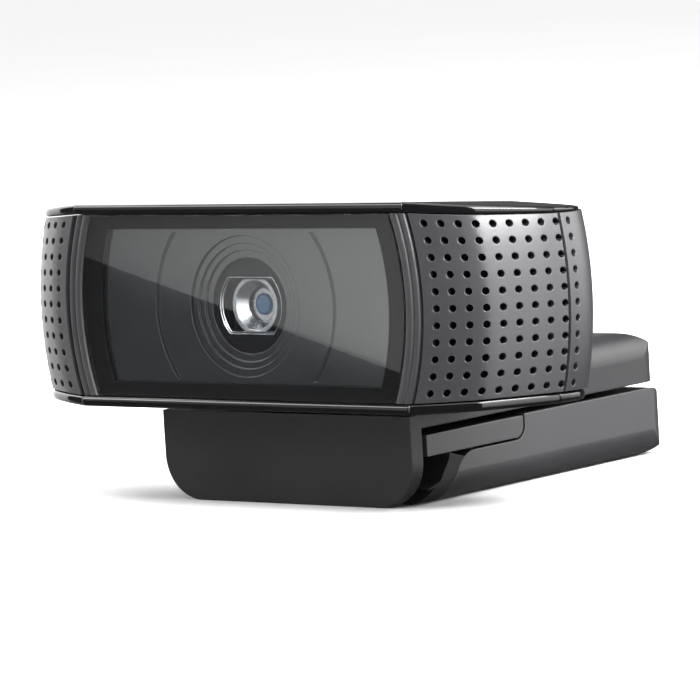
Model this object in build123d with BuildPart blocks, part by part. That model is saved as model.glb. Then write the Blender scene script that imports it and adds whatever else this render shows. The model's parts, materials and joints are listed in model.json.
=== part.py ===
from build123d import *
import math
import os

os.makedirs("parts", exist_ok=True)

# Clip-on webcam, folded flat: a wide camera head tilts on a monitor clip, whose leg folds under it.
# The row frame has its origin under the middle of the whole object, +X to the viewer's right,
# +Y towards the back and +Z up. The head has a frame of its own, which looks up by HEAD_UP.

# ---------------------------------------------------------------- driving dimensions (mm, degrees)
HEAD_UP = 2.0                 # how far the head looks up at rest
HEAD_AT = (0, -34.66, 28.8)   # middle of the window's front face
HALF_W = 47.0                 # half the head's width
HALF_H = 14.5                 # half the head's height
HEAD_D = 24.5                 # window face to the rear face
BAND = 1.5                    # thickness of the top and bottom bands
BAND_PROUD = 0.5              # how far the bands stand forward of the window
BAND_SEAM = 30.0              # where the middle band ends and the wings begin
BOW_AT = 7.4                  # every bowed side is an arc about x = -BOW_AT, or its mirror
WALL = 1.5                    # moulded shell walls
WING_SLOPE = math.tan(math.radians(3.2))   # how fast the wings' top and bottom faces close in
ROWS_FOLLOW = 0.8             # share of that slope that the rows of holes follow
BAND_REAR = 0.3               # the top bands thin to this at their rear, so the head's top falls away
GAP = 0.05                    # clearance between pieces that only meet

WINDOW = (29.5, 12.9)         # half width at mid-height, half height
CLEAR = (26.3, 10.9)          # the clear area inside the window's border
LIGHT_HALF_H = 10.3           # half height of the two light arcs
RIM = 32.2                    # outer half width of the frame round the window
WINDOW_T = 1.0
BORDER_T = 0.35
FRAME_BACK = 3.4

RINGS = (9.85, 8.8, 7.85, 6.76)   # radii of the stepped recess round the lens
RING_STEP = 0.35
PANEL_Y = 1.7
PANEL_T = 0.8
LIGHT_R = 16.2                # radius of the two status light arcs
LIGHT_W = 0.45
HOOD_D = (10.8, 7.5)          # double-D opening: diameter and height across the flats
BARREL_R = 3.0
BARREL_Y = (6.0, 11.5)
LENS_R = 1.55
FOCUS_FIT = 0.05

HOLE_R = 0.53                 # grille perforations
HOLE_PITCH = 2.32
HOLE_ROWS = 11
SEAM_Y = 13.9                 # where the grilles meet the rear cover

TILT_AT = (27.4, -11.8)       # tilt axis in the head's frame: y, z
SHAFT_R = 1.2
KNUCKLE_R = 2.5
LUG_X = (9.1, 14.0)
FIT = 0.05                    # running clearance of the hinge pins
SNUG = 0.02

Y0 = -34.86                   # front of the head, for the clip's own sizes below
CLIP_HALF_W = 22.7
LIP_Y = 8.4                   # from the head's front to the lip's front face
LIP_T = 2.4
LIP_CORNER = 6.4
SHELF_Z = (11.0, 12.9)
HUMP_Y = (30.5, 69.0)
HUMP_TOP = 18.6
LEG_TOP = 10.1
LEG_ROUND = LEG_TOP / 2       # the leg's rear end is a half round about the fold pin
LEG_END = 70.5
EDGE_ROUND = 4.0
REAR_CORNER = 5.0             # the rear corners of the leg and the arm, seen from above
PIN_R = 1.25
EAR_X = (9.0, 15.0)
EAR_R = 3.6
EAR_ROOT = 0.5                # how far the ears run up into the arm
TOE_Y = 12.0
TONGUE = (34.2, 6.9, 9.9)     # rear end, underside and top of the foot bar
INSERT_Y = 46.0               # tripod thread, from the head's front
INSERT_R = 4.5
THREAD_R = 2.6
INSERT_LENGTH = 7.0
INSERT_SINK = 0.3             # the insert's face sits this far up from the underside

HEAD = Plane(HEAD_AT).rotated((-HEAD_UP, 0, 0))
FRONT = Plane(HEAD.origin, x_dir=HEAD.x_dir, z_dir=-HEAD.y_dir)
BACK_SPAN = 37.5              # half width of the flat part of the rear wall
PLAN_POINTS = [(32.7, 0.0), (36.6, 1.2), (40.7, 3.4), (43.1, 6.6), (45.2, 10.3), (46.7, SEAM_Y)]
REAR_POINTS = [
    (46.8, SEAM_Y + 0.55), (46.8, 16.5), (46.0, 20.2), (43.9, 22.9), (41.2, 24.15), (BACK_SPAN + 0.5, HEAD_D)]


def write(piece, name):
    """Label a finished piece and write it as one STEP."""
    piece.part.label = name
    export_step(piece.part, f"parts/{name}.step")


def facing(depth):
    """A plane parallel to the window, depth behind its face: local x right, y up, z forward."""
    return FRONT.offset(-depth)


def level(height):
    """A plane parallel to the head's middle plane: local x right, y back, z up."""
    return HEAD.offset(height)


def side(x):
    """A plane across the clip at x: local x back, y up."""
    return Plane((x, Y0, 0), x_dir=(0, 1, 0), z_dir=(1, 0, 0))


def head_side(x):
    """The same across the head, through its tilted frame."""
    return Plane(HEAD.from_local_coords((x, 0, 0)), x_dir=HEAD.y_dir, z_dir=HEAD.x_dir)


def bowed(half_width, half_height):
    """A rectangle whose two upright sides bow outwards about the common bow centre."""
    radius = half_width + BOW_AT
    corner = math.sqrt(radius ** 2 - half_height ** 2) - BOW_AT
    with BuildLine() as outline:
        Line((-corner, half_height), (corner, half_height))
        ThreePointArc((corner, half_height), (half_width, 0), (corner, -half_height))
        Line((corner, -half_height), (-corner, -half_height))
        ThreePointArc((-corner, -half_height), (-half_width, 0), (-corner, half_height))
    make_face(outline.edges())


def shifted(points, distance):
    """Points moved to the inner side of a plan outline, square to the line past their neighbours."""
    moved = []
    for index, point in enumerate(points):
        before = points[max(index - 1, 0)]
        after = points[min(index + 1, len(points) - 1)]
        along = (Vector(after) - Vector(before)).normalized()
        moved.append(Vector(point) + Vector(-along.Y, along.X) * distance)
    return moved


def turned(at, angle):
    """The head's level plane at a point of its frame, turned about the line that runs front to back."""
    line = Axis((0, 0, 0), HEAD.y_dir)
    across_dir = HEAD.x_dir.rotate(line, angle)
    return Plane(HEAD.from_local_coords(at), x_dir=across_dir, z_dir=HEAD.z_dir.rotate(line, angle))


def falling(at, outwards, backwards):
    """A plane through a point of the head's frame that falls outwards and backwards by these slopes."""
    return Plane(
        HEAD.from_local_coords(at), z_dir=HEAD.x_dir * outwards + HEAD.y_dir * backwards + HEAD.z_dir)


BOW_SWEEP = 50
BOW_AXIS = Axis(HEAD.from_local_coords((-BOW_AT, 0, 0)), HEAD.y_dir)
BOW_START = turned((-BOW_AT, 0, 0), -BOW_SWEEP / 2)


def from_bow(points):
    """Plan points measured from the bow axis."""
    return [(Vector(point).X + BOW_AT, Vector(point).Y) for point in points]


def trim_wing(half_height):
    """Keep what lies between two heights that close in by the wings' slope."""
    split(bisect_by=falling((BAND_SEAM, 0, half_height), WING_SLOPE, 0), keep=Keep.BOTTOM)
    split(bisect_by=falling((BAND_SEAM, 0, -half_height), -WING_SLOPE, 0), keep=Keep.TOP)


def both_sides(right, stem):
    """Write a right-hand piece and its mirror image."""
    write(right, f"{stem}_right")
    with BuildPart() as left:
        add(right.part)
        mirror(about=Plane.YZ, mode=Mode.REPLACE)
    write(left, f"{stem}_left")


# ---------------------------------------------------------------- window and its frame
with BuildPart() as front_window:
    with BuildSketch(facing(WINDOW_T)):
        bowed(*WINDOW)
    extrude(amount=WINDOW_T)
    window_face = front_window.faces().sort_by(Axis(FRONT.origin, FRONT.z_dir))[-1]
    chamfer(window_face.edges(), length=0.15)
write(front_window, "front_window")

with BuildPart() as window_border:
    with BuildSketch(facing(WINDOW_T + BORDER_T)):
        bowed(*WINDOW)
    extrude(amount=BORDER_T)
    with BuildSketch(facing(WINDOW_T + BORDER_T)):
        bowed(*CLEAR)
    extrude(amount=BORDER_T, mode=Mode.SUBTRACT)
write(window_border, "window_border")

with BuildPart() as front_frame:
    with BuildSketch(facing(FRAME_BACK)):
        bowed(RIM, HALF_H - BAND - GAP)
    extrude(amount=FRAME_BACK + 0.25)
    with BuildSketch(facing(WINDOW_T + BORDER_T)):
        bowed(WINDOW[0] + GAP, WINDOW[1] + GAP)
    extrude(amount=FRAME_BACK, mode=Mode.SUBTRACT)
    with BuildSketch(facing(FRAME_BACK)):
        bowed(*CLEAR)
    extrude(amount=FRAME_BACK, mode=Mode.SUBTRACT)
write(front_frame, "front_frame")

# ---------------------------------------------------------------- panel behind the window
with BuildPart() as inner_panel:
    with BuildSketch(facing(PANEL_Y + PANEL_T)):
        bowed(CLEAR[0] - GAP, CLEAR[1] - GAP)
        Circle(RINGS[0] + GAP, mode=Mode.SUBTRACT)
    extrude(amount=PANEL_T)
    with BuildSketch(facing(PANEL_Y + PANEL_T)):
        Circle(LIGHT_R + LIGHT_W / 2 + GAP)
        Circle(LIGHT_R - LIGHT_W / 2 - GAP, mode=Mode.SUBTRACT)
        Rectangle(3 * LIGHT_R, 4 * LIGHT_R, mode=Mode.INTERSECT)
        Rectangle(3 * LIGHT_R, 2 * LIGHT_HALF_H, mode=Mode.INTERSECT)
    extrude(amount=PANEL_T, mode=Mode.SUBTRACT)
write(inner_panel, "inner_panel")

with BuildPart() as light_guide:
    with BuildSketch(facing(PANEL_Y + PANEL_T)):
        Circle(LIGHT_R + LIGHT_W / 2)
        Circle(LIGHT_R - LIGHT_W / 2, mode=Mode.SUBTRACT)
        Rectangle(3 * LIGHT_R, 2 * (LIGHT_HALF_H - GAP), mode=Mode.INTERSECT)
        with Locations((-LIGHT_R, 0)):
            Rectangle(2 * LIGHT_R, 4 * LIGHT_R, mode=Mode.SUBTRACT)
    extrude(amount=PANEL_T - 0.05)
both_sides(light_guide, "light_guide")

with BuildPart() as lens_surround:
    with BuildSketch(facing(FRAME_BACK + 0.2)):
        Circle(RINGS[0])
        Circle(RINGS[-1], mode=Mode.SUBTRACT)
    extrude(amount=FRAME_BACK + 0.2 - PANEL_Y - RING_STEP)
    for step, radius in enumerate(RINGS[1:-1], start=2):
        with BuildSketch(facing(PANEL_Y + step * RING_STEP)):
            Circle(radius)
            Circle(RINGS[-1], mode=Mode.SUBTRACT)
        extrude(amount=FRAME_BACK, mode=Mode.SUBTRACT)
write(lens_surround, "lens_surround")

HOOD_Y = PANEL_Y + len(RINGS) * RING_STEP

with BuildPart() as aperture_plate:
    with BuildSketch(facing(FRAME_BACK + 0.5)):
        Circle(RINGS[-1] - GAP)
    extrude(amount=FRAME_BACK + 0.5 - HOOD_Y)
    with BuildSketch(facing(FRAME_BACK + 0.5)):
        Circle(HOOD_D[0] / 2)
        Rectangle(HOOD_D[0], HOOD_D[1], mode=Mode.INTERSECT)
    extrude(amount=FRAME_BACK, mode=Mode.SUBTRACT)
write(aperture_plate, "aperture_plate")

FUNNEL = ((3.95, 3.5), (5.5, 2.35))   # depth and inner radius at the front and at the back
with BuildPart() as lens_hood:
    with BuildSketch(Plane(HEAD.origin, x_dir=HEAD.x_dir, z_dir=HEAD.z_dir)):
        with BuildLine():
            Polyline(
                (FUNNEL[0][1], FUNNEL[0][0]), (FUNNEL[0][1] + 0.6, FUNNEL[0][0]),
                (FUNNEL[0][1] + 0.6, FUNNEL[1][0]), (FUNNEL[1][1], FUNNEL[1][0]), close=True)
        make_face()
    revolve(axis=Axis(HEAD.origin, HEAD.y_dir))
write(lens_hood, "lens_hood")

# ---------------------------------------------------------------- lens, focus drive and sensor
with BuildPart() as lens_barrel:
    with BuildSketch(facing(BARREL_Y[1])):
        Circle(BARREL_R)
    extrude(amount=BARREL_Y[1] - BARREL_Y[0])
    with BuildSketch(facing(BARREL_Y[0] + 1.0)):
        Circle(LENS_R + SNUG)
    extrude(amount=1.0, mode=Mode.SUBTRACT)
    with BuildSketch(facing(BARREL_Y[1])):
        Circle(1.9)
    extrude(amount=1.0, mode=Mode.SUBTRACT)
write(lens_barrel, "lens_barrel")

with BuildPart() as front_lens:
    with BuildSketch(facing(BARREL_Y[0] + 0.9)):
        Circle(LENS_R)
    extrude(amount=1.2)
    dome_edges = front_lens.edges().filter_by(GeomType.CIRCLE)
    fillet(dome_edges.sort_by(Axis(FRONT.origin, FRONT.z_dir))[-1], radius=0.45)
write(front_lens, "front_lens")

with BuildPart() as rear_lens:
    with BuildSketch(facing(BARREL_Y[1] - 0.05)):
        Circle(1.9 - SNUG)
    extrude(amount=0.85)
write(rear_lens, "rear_lens")

COIL_Y = (7.6, 9.4)
COIL_R = 3.6
with BuildPart() as focus_coil:
    with BuildSketch(facing(COIL_Y[1])):
        Circle(COIL_R)
        Circle(BARREL_R, mode=Mode.SUBTRACT)
    extrude(amount=COIL_Y[1] - COIL_Y[0])
write(focus_coil, "focus_coil")

HOLDER = 11.0
HOLDER_Y = (6.4, 13.2)
with BuildPart() as lens_holder:
    with BuildSketch(facing(HOLDER_Y[1])):
        RectangleRounded(HOLDER, HOLDER, 0.8)
        Circle(BARREL_R + FOCUS_FIT, mode=Mode.SUBTRACT)
    extrude(amount=HOLDER_Y[1] - HOLDER_Y[0])
    with BuildSketch(facing(COIL_Y[1] + 0.6)):
        Circle(COIL_R + 0.3)
    extrude(amount=COIL_Y[1] - COIL_Y[0] + 1.2, mode=Mode.SUBTRACT)
    with BuildSketch(facing(HOLDER_Y[1])):
        Rectangle(8.4, 7.4)
    extrude(amount=1.4, mode=Mode.SUBTRACT)
write(lens_holder, "lens_holder")

with BuildPart() as focus_yoke:
    with BuildSketch(facing(HOLDER_Y[1] - 1.0)):
        RectangleRounded(HOLDER + 1.3, HOLDER + 1.3, 1.0)
        RectangleRounded(HOLDER + 2 * GAP, HOLDER + 2 * GAP, 0.8, mode=Mode.SUBTRACT)
    extrude(amount=HOLDER_Y[1] - HOLDER_Y[0] - 1.0)
write(focus_yoke, "focus_yoke")

with BuildPart() as infrared_filter:
    with BuildSketch(facing(HOLDER_Y[1] - 1.0)):
        Rectangle(7.0, 6.2)
    extrude(amount=0.3)
write(infrared_filter, "infrared_filter")

PCB_Y = (13.3, 14.5)
with BuildPart() as image_sensor:
    with BuildSketch(facing(PCB_Y[0])):
        Rectangle(6.6, 5.6)
    extrude(amount=0.9)
write(image_sensor, "image_sensor")

BOSS_AT = (21.0, 8.0)
with BuildPart() as main_board:
    with BuildSketch(facing(PCB_Y[1])):
        RectangleRounded(52.0, 22.0, 1.5)
        with GridLocations(2 * BOSS_AT[0], 2 * BOSS_AT[1], 2, 2):
            Circle(0.9, mode=Mode.SUBTRACT)
    extrude(amount=PCB_Y[1] - PCB_Y[0])
write(main_board, "main_board")

with BuildPart() as board_chips:
    with BuildSketch(facing(PCB_Y[1] + 1.1)):
        Rectangle(9.0, 9.0)
        with Locations((13.0, 3.0), (-13.0, -2.0)):
            Rectangle(6.0, 5.0)
    extrude(amount=1.1 - GAP)
write(board_chips, "board_chips")

CHASSIS_Y = (4.6, 6.2)
with BuildPart() as chassis:
    with BuildSketch(facing(CHASSIS_Y[1])):
        bowed(RIM - 1.0, HALF_H - BAND - 0.4)
        Rectangle(HOLDER + 2.0, HOLDER + 2.0, mode=Mode.SUBTRACT)
    extrude(amount=CHASSIS_Y[1] - CHASSIS_Y[0])
    with BuildSketch(facing(PCB_Y[0] - GAP)):
        with GridLocations(2 * BOSS_AT[0], 2 * BOSS_AT[1], 2, 2):
            Circle(2.1)
    extrude(amount=PCB_Y[0] - GAP - CHASSIS_Y[1])
    with BuildSketch(facing(PCB_Y[0] - GAP)):
        with GridLocations(2 * BOSS_AT[0], 2 * BOSS_AT[1], 2, 2):
            Circle(0.85)
    extrude(amount=6.0, mode=Mode.SUBTRACT)
write(chassis, "chassis")

with BuildPart() as board_screws:
    with BuildSketch(facing(PCB_Y[1] + 0.9)):
        with GridLocations(2 * BOSS_AT[0], 2 * BOSS_AT[1], 2, 2):
            Circle(1.6)
    extrude(amount=0.9 - GAP)
    with BuildSketch(facing(PCB_Y[1])):
        with GridLocations(2 * BOSS_AT[0], 2 * BOSS_AT[1], 2, 2):
            Circle(0.8)
    extrude(amount=6.0)
    with BuildSketch(facing(PCB_Y[1] + 0.2)):
        with GridLocations(2 * BOSS_AT[0], 2 * BOSS_AT[1], 2, 2):
            Circle(0.8)
    extrude(amount=0.4)
write(board_screws, "board_screws")

LED_Y = 3.3
with BuildPart() as light_board:
    with BuildSketch(facing(LED_Y + 0.8)):
        with Locations((LIGHT_R + 1.5, 0)):
            Rectangle(5.0, 13.0)
    extrude(amount=0.8)
both_sides(light_board, "light_board")

with BuildPart() as status_lights:
    with BuildSketch(facing(LED_Y)):
        with Locations((LIGHT_R, 0), (-LIGHT_R, 0)):
            Rectangle(1.2, 3.0)
    extrude(amount=LED_Y - PANEL_Y - PANEL_T - GAP)
write(status_lights, "status_lights")

# ---------------------------------------------------------------- microphones behind the grilles
MIC_AT = (37.6, 0.0)
MIC_Y = (7.0, 8.6)
MIC_R = 2.1
with BuildPart() as microphone:
    with BuildSketch(facing(MIC_Y[1])):
        with Locations(MIC_AT):
            Circle(MIC_R)
    extrude(amount=MIC_Y[1] - MIC_Y[0])
both_sides(microphone, "microphone")

with BuildPart() as microphone_boot:
    with BuildSketch(facing(MIC_Y[1] + 0.8)):
        with Locations(MIC_AT):
            Circle(MIC_R + 1.0)
    extrude(amount=MIC_Y[1] - MIC_Y[0] + 1.4)
    with BuildSketch(facing(MIC_Y[1])):
        with Locations(MIC_AT):
            Circle(MIC_R)
    extrude(amount=4.0, mode=Mode.SUBTRACT)
both_sides(microphone_boot, "microphone_boot")

# ---------------------------------------------------------------- grilles, rear cover and bands
HOLE_COLUMNS = 9
GRILLE_START = 1.9            # from each wall's own front end to its first column of holes
REAR_START = 1.4
GRILLE_ENDS = ((1, 0.25), (0.12, 1))
REAR_ENDS = ((0.05, 1), (-1, 0.02))


def bow_band(points, tangents):
    """A wall whose plan is a smooth line through the points, swept about the bow axis."""
    middle = from_bow(shifted(points, WALL / 2))
    with BuildSketch(BOW_START) as band:
        with BuildLine():
            Spline(*middle, tangents=tangents)
        trace(line_width=WALL)
    revolve(band.sketch, axis=BOW_AXIS, revolution_arc=BOW_SWEEP)


def perforate(points, tangents, start, columns):
    """Columns of round holes that follow the bow, square to the wall, the first one start along it."""
    line = Spline(*[Vector(point) for point in points], tangents=tangents)
    for column in range(columns):
        along = (start + column * HOLE_PITCH) / line.length
        spot = line @ along
        heading = line % along
        out = HEAD.from_local_coords((heading.Y, -heading.X, 0)) - HEAD.origin
        edge = math.sqrt((spot.X + BOW_AT) ** 2 - SHELL_H ** 2) - BOW_AT
        closing = 1 - ROWS_FOLLOW * WING_SLOPE * (edge - BAND_SEAM) / SHELL_H
        for row in range(HOLE_ROWS):
            height = (row - (HOLE_ROWS - 1) / 2) * HOLE_PITCH * closing
            x = math.sqrt((spot.X + BOW_AT) ** 2 - height ** 2) - BOW_AT
            with Locations(Plane(HEAD.from_local_coords((x, spot.Y, height)), z_dir=out)):
                Cylinder(HOLE_R, 5 * WALL, mode=Mode.SUBTRACT)


SHELL_H = HALF_H - BAND - GAP
with BuildPart() as grille:
    bow_band(PLAN_POINTS, GRILLE_ENDS)
    trim_wing(SHELL_H)
    perforate(PLAN_POINTS, GRILLE_ENDS, GRILLE_START, HOLE_COLUMNS)
both_sides(grille, "grille")

POSTS = [(28.8, 0.0), (-28.8, 0.0)]   # cover screws
POST_R = (2.1, 1.0)           # counterbore and clearance hole
POST_SINK = 0.9
GLAND_AT = (-14.0, 1.0)
GLAND_R = (4.2, 2.9, 2.2)     # flange, neck and bore
GLAND_PROUD = 1.6
GLAND_DEEP = 1.5
LUG_ROOT = 0.8                # the lug's root starts this far above its round end

with BuildPart() as rear_end:
    bow_band(REAR_POINTS, REAR_ENDS)
    with BuildSketch(facing(HEAD_D)):
        with Locations(((BAND_SEAM - 1 + BACK_SPAN) / 2, 0)):
            Rectangle(BACK_SPAN - BAND_SEAM + 1, 2 * HALF_H)
    extrude(amount=WALL)
    trim_wing(SHELL_H)
    perforate(REAR_POINTS, REAR_ENDS, REAR_START, 1)

with BuildPart() as rear_cover:
    add(rear_end.part)
    mirror(about=Plane.YZ)
    with BuildSketch(facing(HEAD_D)):
        Rectangle(2 * BAND_SEAM, 2 * SHELL_H)
    extrude(amount=WALL)
    with BuildSketch(facing(HEAD_D)):
        with Locations(*POSTS):
            Circle(POST_R[1])
        with Locations(GLAND_AT):
            Circle(GLAND_R[1] + SNUG)
    extrude(amount=WALL, mode=Mode.SUBTRACT)
    with BuildSketch(facing(HEAD_D)):
        with Locations(*POSTS):
            Circle(POST_R[0])
    extrude(amount=POST_SINK, mode=Mode.SUBTRACT)
    for start in (LUG_X[0], -LUG_X[1]):
        with BuildSketch(head_side(start)):
            with Locations(TILT_AT):
                Circle(KNUCKLE_R)
            with Locations(((HEAD_D + TILT_AT[0]) / 2, TILT_AT[1])):
                Rectangle(TILT_AT[0] - HEAD_D, 2 * KNUCKLE_R)
            with Locations((HEAD_D - WALL / 2, TILT_AT[1] + LUG_ROOT)):
                Rectangle(WALL, 2 * (KNUCKLE_R - LUG_ROOT))
        extrude(amount=LUG_X[1] - LUG_X[0])
    with BuildSketch(head_side(-HALF_W)):
        with Locations(TILT_AT):
            Circle(SHAFT_R + FIT)
    extrude(amount=2 * HALF_W, mode=Mode.SUBTRACT)
write(rear_cover, "rear_cover")

COVER_SCREW_R = (1.9, 0.8)
COVER_SCREW_TOP = 0.2         # below the cover's rear face
COVER_SCREW_LENGTH = 8.7
with BuildPart() as cover_screws:
    with BuildSketch(facing(HEAD_D - COVER_SCREW_TOP)):
        with Locations(*POSTS):
            Circle(COVER_SCREW_R[0])
    extrude(amount=POST_SINK - COVER_SCREW_TOP)
    with BuildSketch(facing(HEAD_D - COVER_SCREW_TOP)):
        with Locations(*POSTS):
            Circle(COVER_SCREW_R[1])
    extrude(amount=COVER_SCREW_LENGTH)
    with BuildSketch(facing(HEAD_D - COVER_SCREW_TOP)):
        with Locations(*POSTS):
            Rectangle(2.2, 0.5)
            Rectangle(0.5, 2.2)
    extrude(amount=0.4, mode=Mode.SUBTRACT)
write(cover_screws, "cover_screws")

with BuildPart() as cable_gland:
    with BuildSketch(facing(HEAD_D + GLAND_PROUD)):
        with Locations(GLAND_AT):
            Circle(GLAND_R[0])
    extrude(amount=GLAND_PROUD - GAP)
    with BuildSketch(facing(HEAD_D + 2 * GAP)):
        with Locations(GLAND_AT):
            Circle(GLAND_R[1])
    extrude(amount=WALL + GLAND_DEEP + 2 * GAP)
    with BuildSketch(facing(HEAD_D + GLAND_PROUD)):
        with Locations(GLAND_AT):
            Circle(GLAND_R[2])
    extrude(amount=HEAD_D, mode=Mode.SUBTRACT)
write(cable_gland, "cable_gland")

BAND_BACK = HEAD_D - GAP
BAND_LIP = 0.6                # radius of the bands' front edges
THIN_SLOPE = (BAND - BAND_REAR) / (BAND_BACK + BAND_PROUD)
BANDS = [("top_band", HALF_H - BAND, WING_SLOPE, THIN_SLOPE), ("bottom_band", -HALF_H, -WING_SLOPE, 0)]
for name, low, outwards, backwards in BANDS:
    with BuildPart() as middle_band:
        with BuildSketch(level(low)):
            with Locations((0, (BAND_BACK - BAND_PROUD) / 2)):
                Rectangle(2 * BAND_SEAM - GAP, BAND_BACK + BAND_PROUD)
        extrude(amount=BAND)
        front_edges = middle_band.faces().sort_by(Axis(HEAD.origin, HEAD.y_dir))[0].edges()
        fillet(front_edges.filter_by(Axis.X), radius=BAND_LIP)
        split(bisect_by=falling((0, -BAND_PROUD, low + BAND), 0, backwards), keep=Keep.BOTTOM)
    write(middle_band, name)

WING_PROUD = (0.25, 0.35)     # how far the wings stand out of the grille, to the side and forwards
WING_POINTS = [(x + WING_PROUD[0], y - WING_PROUD[1]) for x, y in PLAN_POINTS[:-1]] + [(HALF_W, SEAM_Y + 1.0)]
with BuildPart() as wing_block:
    with BuildSketch(BOW_START) as wing_plan:
        with BuildLine():
            front_line = Spline(*from_bow(WING_POINTS), tangents=((1, 0.25), (0.05, 1)))
            rear_line = Spline(
                front_line @ 1, *from_bow(REAR_POINTS[2:-1]), (BACK_SPAN + BOW_AT, BAND_BACK),
                tangents=((0.0, 1), (-1, 0.02)))
            Polyline(rear_line @ 1, (20.0, BAND_BACK), (20.0, (front_line @ 0).Y), front_line @ 0)
        make_face()
    revolve(axis=BOW_AXIS, revolution_arc=BOW_SWEEP)
    split(bisect_by=Plane.YZ.offset(BAND_SEAM + GAP), keep=Keep.TOP)

for name, low, outwards, backwards in BANDS:
    with BuildPart() as wing_band:
        add(wing_block.part)
        split(bisect_by=falling((BAND_SEAM, -BAND_PROUD, low + BAND), outwards, backwards), keep=Keep.BOTTOM)
        split(bisect_by=falling((BAND_SEAM, 0, low), outwards, 0), keep=Keep.TOP)
    both_sides(wing_band, f"{name}_wing")

# ---------------------------------------------------------------- tilt hinge
TILT_POINT = HEAD.from_local_coords((0, *TILT_AT))
TILT_Y = TILT_POINT.Y - Y0
TILT_Z = TILT_POINT.Z
print("tilt axis", TILT_POINT)

FOOT_Y = (21.5, 30.2)
FOOT_Z = (12.1, 12.9)
FOOT_HALF_W = 8.5
RIVETS = [(5.0, 23.2), (-5.0, 23.2)]
RIVET_R = 1.2
WASHER = (2.3, 0.5)           # radius and thickness
CLIP_RING = (2.1, 0.5)
with BuildPart() as tilt_bracket:
    with BuildSketch(side(0)):
        with Locations((TILT_Y, TILT_Z)):
            Circle(KNUCKLE_R)
        with Locations((TILT_Y, (TILT_Z + FOOT_Z[0]) / 2)):
            Rectangle(2 * KNUCKLE_R, TILT_Z - FOOT_Z[0])
        with Locations(((FOOT_Y[0] + FOOT_Y[1]) / 2, (FOOT_Z[0] + FOOT_Z[1]) / 2)):
            Rectangle(FOOT_Y[1] - FOOT_Y[0], FOOT_Z[1] - FOOT_Z[0])
        with Locations((TILT_Y, TILT_Z)):
            Circle(SHAFT_R + SNUG, mode=Mode.SUBTRACT)
    extrude(amount=FOOT_HALF_W, both=True)
    with BuildSketch(Plane((0, Y0, FOOT_Z[0]))):
        with Locations(*RIVETS):
            Circle(RIVET_R + SNUG)
    extrude(amount=FOOT_Z[1] - FOOT_Z[0], mode=Mode.SUBTRACT)
write(tilt_bracket, "tilt_bracket")

with BuildPart() as bracket_rivets:
    with BuildSketch(Plane((0, Y0, SHELF_Z[0] + 0.2))):
        with Locations(*RIVETS):
            Circle(RIVET_R)
    extrude(amount=FOOT_Z[1] - SHELF_Z[0] - 0.2)
write(bracket_rivets, "bracket_rivets")

with BuildPart() as tilt_shaft:
    with BuildSketch(side(-LUG_X[1] - 0.8)):
        with Locations((TILT_Y, TILT_Z)):
            Circle(SHAFT_R)
    extrude(amount=2 * LUG_X[1] + 1.6)
write(tilt_shaft, "tilt_shaft")


def collars(piece_planes, outer, inner, thickness):
    """Flat rings round the tilt axis, one on each plane."""
    with BuildSketch(*piece_planes) as rings:
        with Locations((TILT_Y, TILT_Z)):
            Circle(outer)
            Circle(inner, mode=Mode.SUBTRACT)
    extrude(rings.sketch, amount=thickness)


with BuildPart() as friction_washers:
    washer_planes = (side(FOOT_HALF_W + GAP), side(-FOOT_HALF_W - GAP - WASHER[1]))
    collars(washer_planes, WASHER[0], SHAFT_R + SNUG, WASHER[1])
write(friction_washers, "friction_washers")

with BuildPart() as shaft_clips:
    ring_planes = (side(LUG_X[1] + 2 * GAP), side(-LUG_X[1] - 2 * GAP - CLIP_RING[1]))
    collars(ring_planes, CLIP_RING[0], SHAFT_R + SNUG, CLIP_RING[1])
write(shaft_clips, "shaft_clips")

# ---------------------------------------------------------------- clip arm: lip, shelf and hump
FOLD_Y = LEG_END - LEG_ROUND
FOLD_Z = LEG_ROUND
ARM_POCKET = ((34.0, 58.0), 16.0, 16.8)   # y range, half width and roof of the hump's hollow
ARM_REAR = (8.0, 6.6)                     # radii of the hump's rounded rear end


def across(y):
    """A plane square to the clip's length: local x right, y up, z forward."""
    return Plane((0, Y0 + y, 0), x_dir=(1, 0, 0), z_dir=(0, -1, 0))


def flat(z):
    """A level plane of the clip: local x right, y back from the head's front."""
    return Plane((0, Y0, z))


def round_rear(end):
    """Round the two rear corners at a rear end, as seen from above."""
    with BuildSketch(flat(-1)) as plan:
        with Locations((0, end / 2)):
            Rectangle(2 * CLIP_HALF_W, end)
        fillet(plan.vertices().group_by(Axis.Y)[-1], radius=REAR_CORNER)
    extrude(plan.sketch, amount=HUMP_TOP + 2, mode=Mode.INTERSECT)


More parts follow.
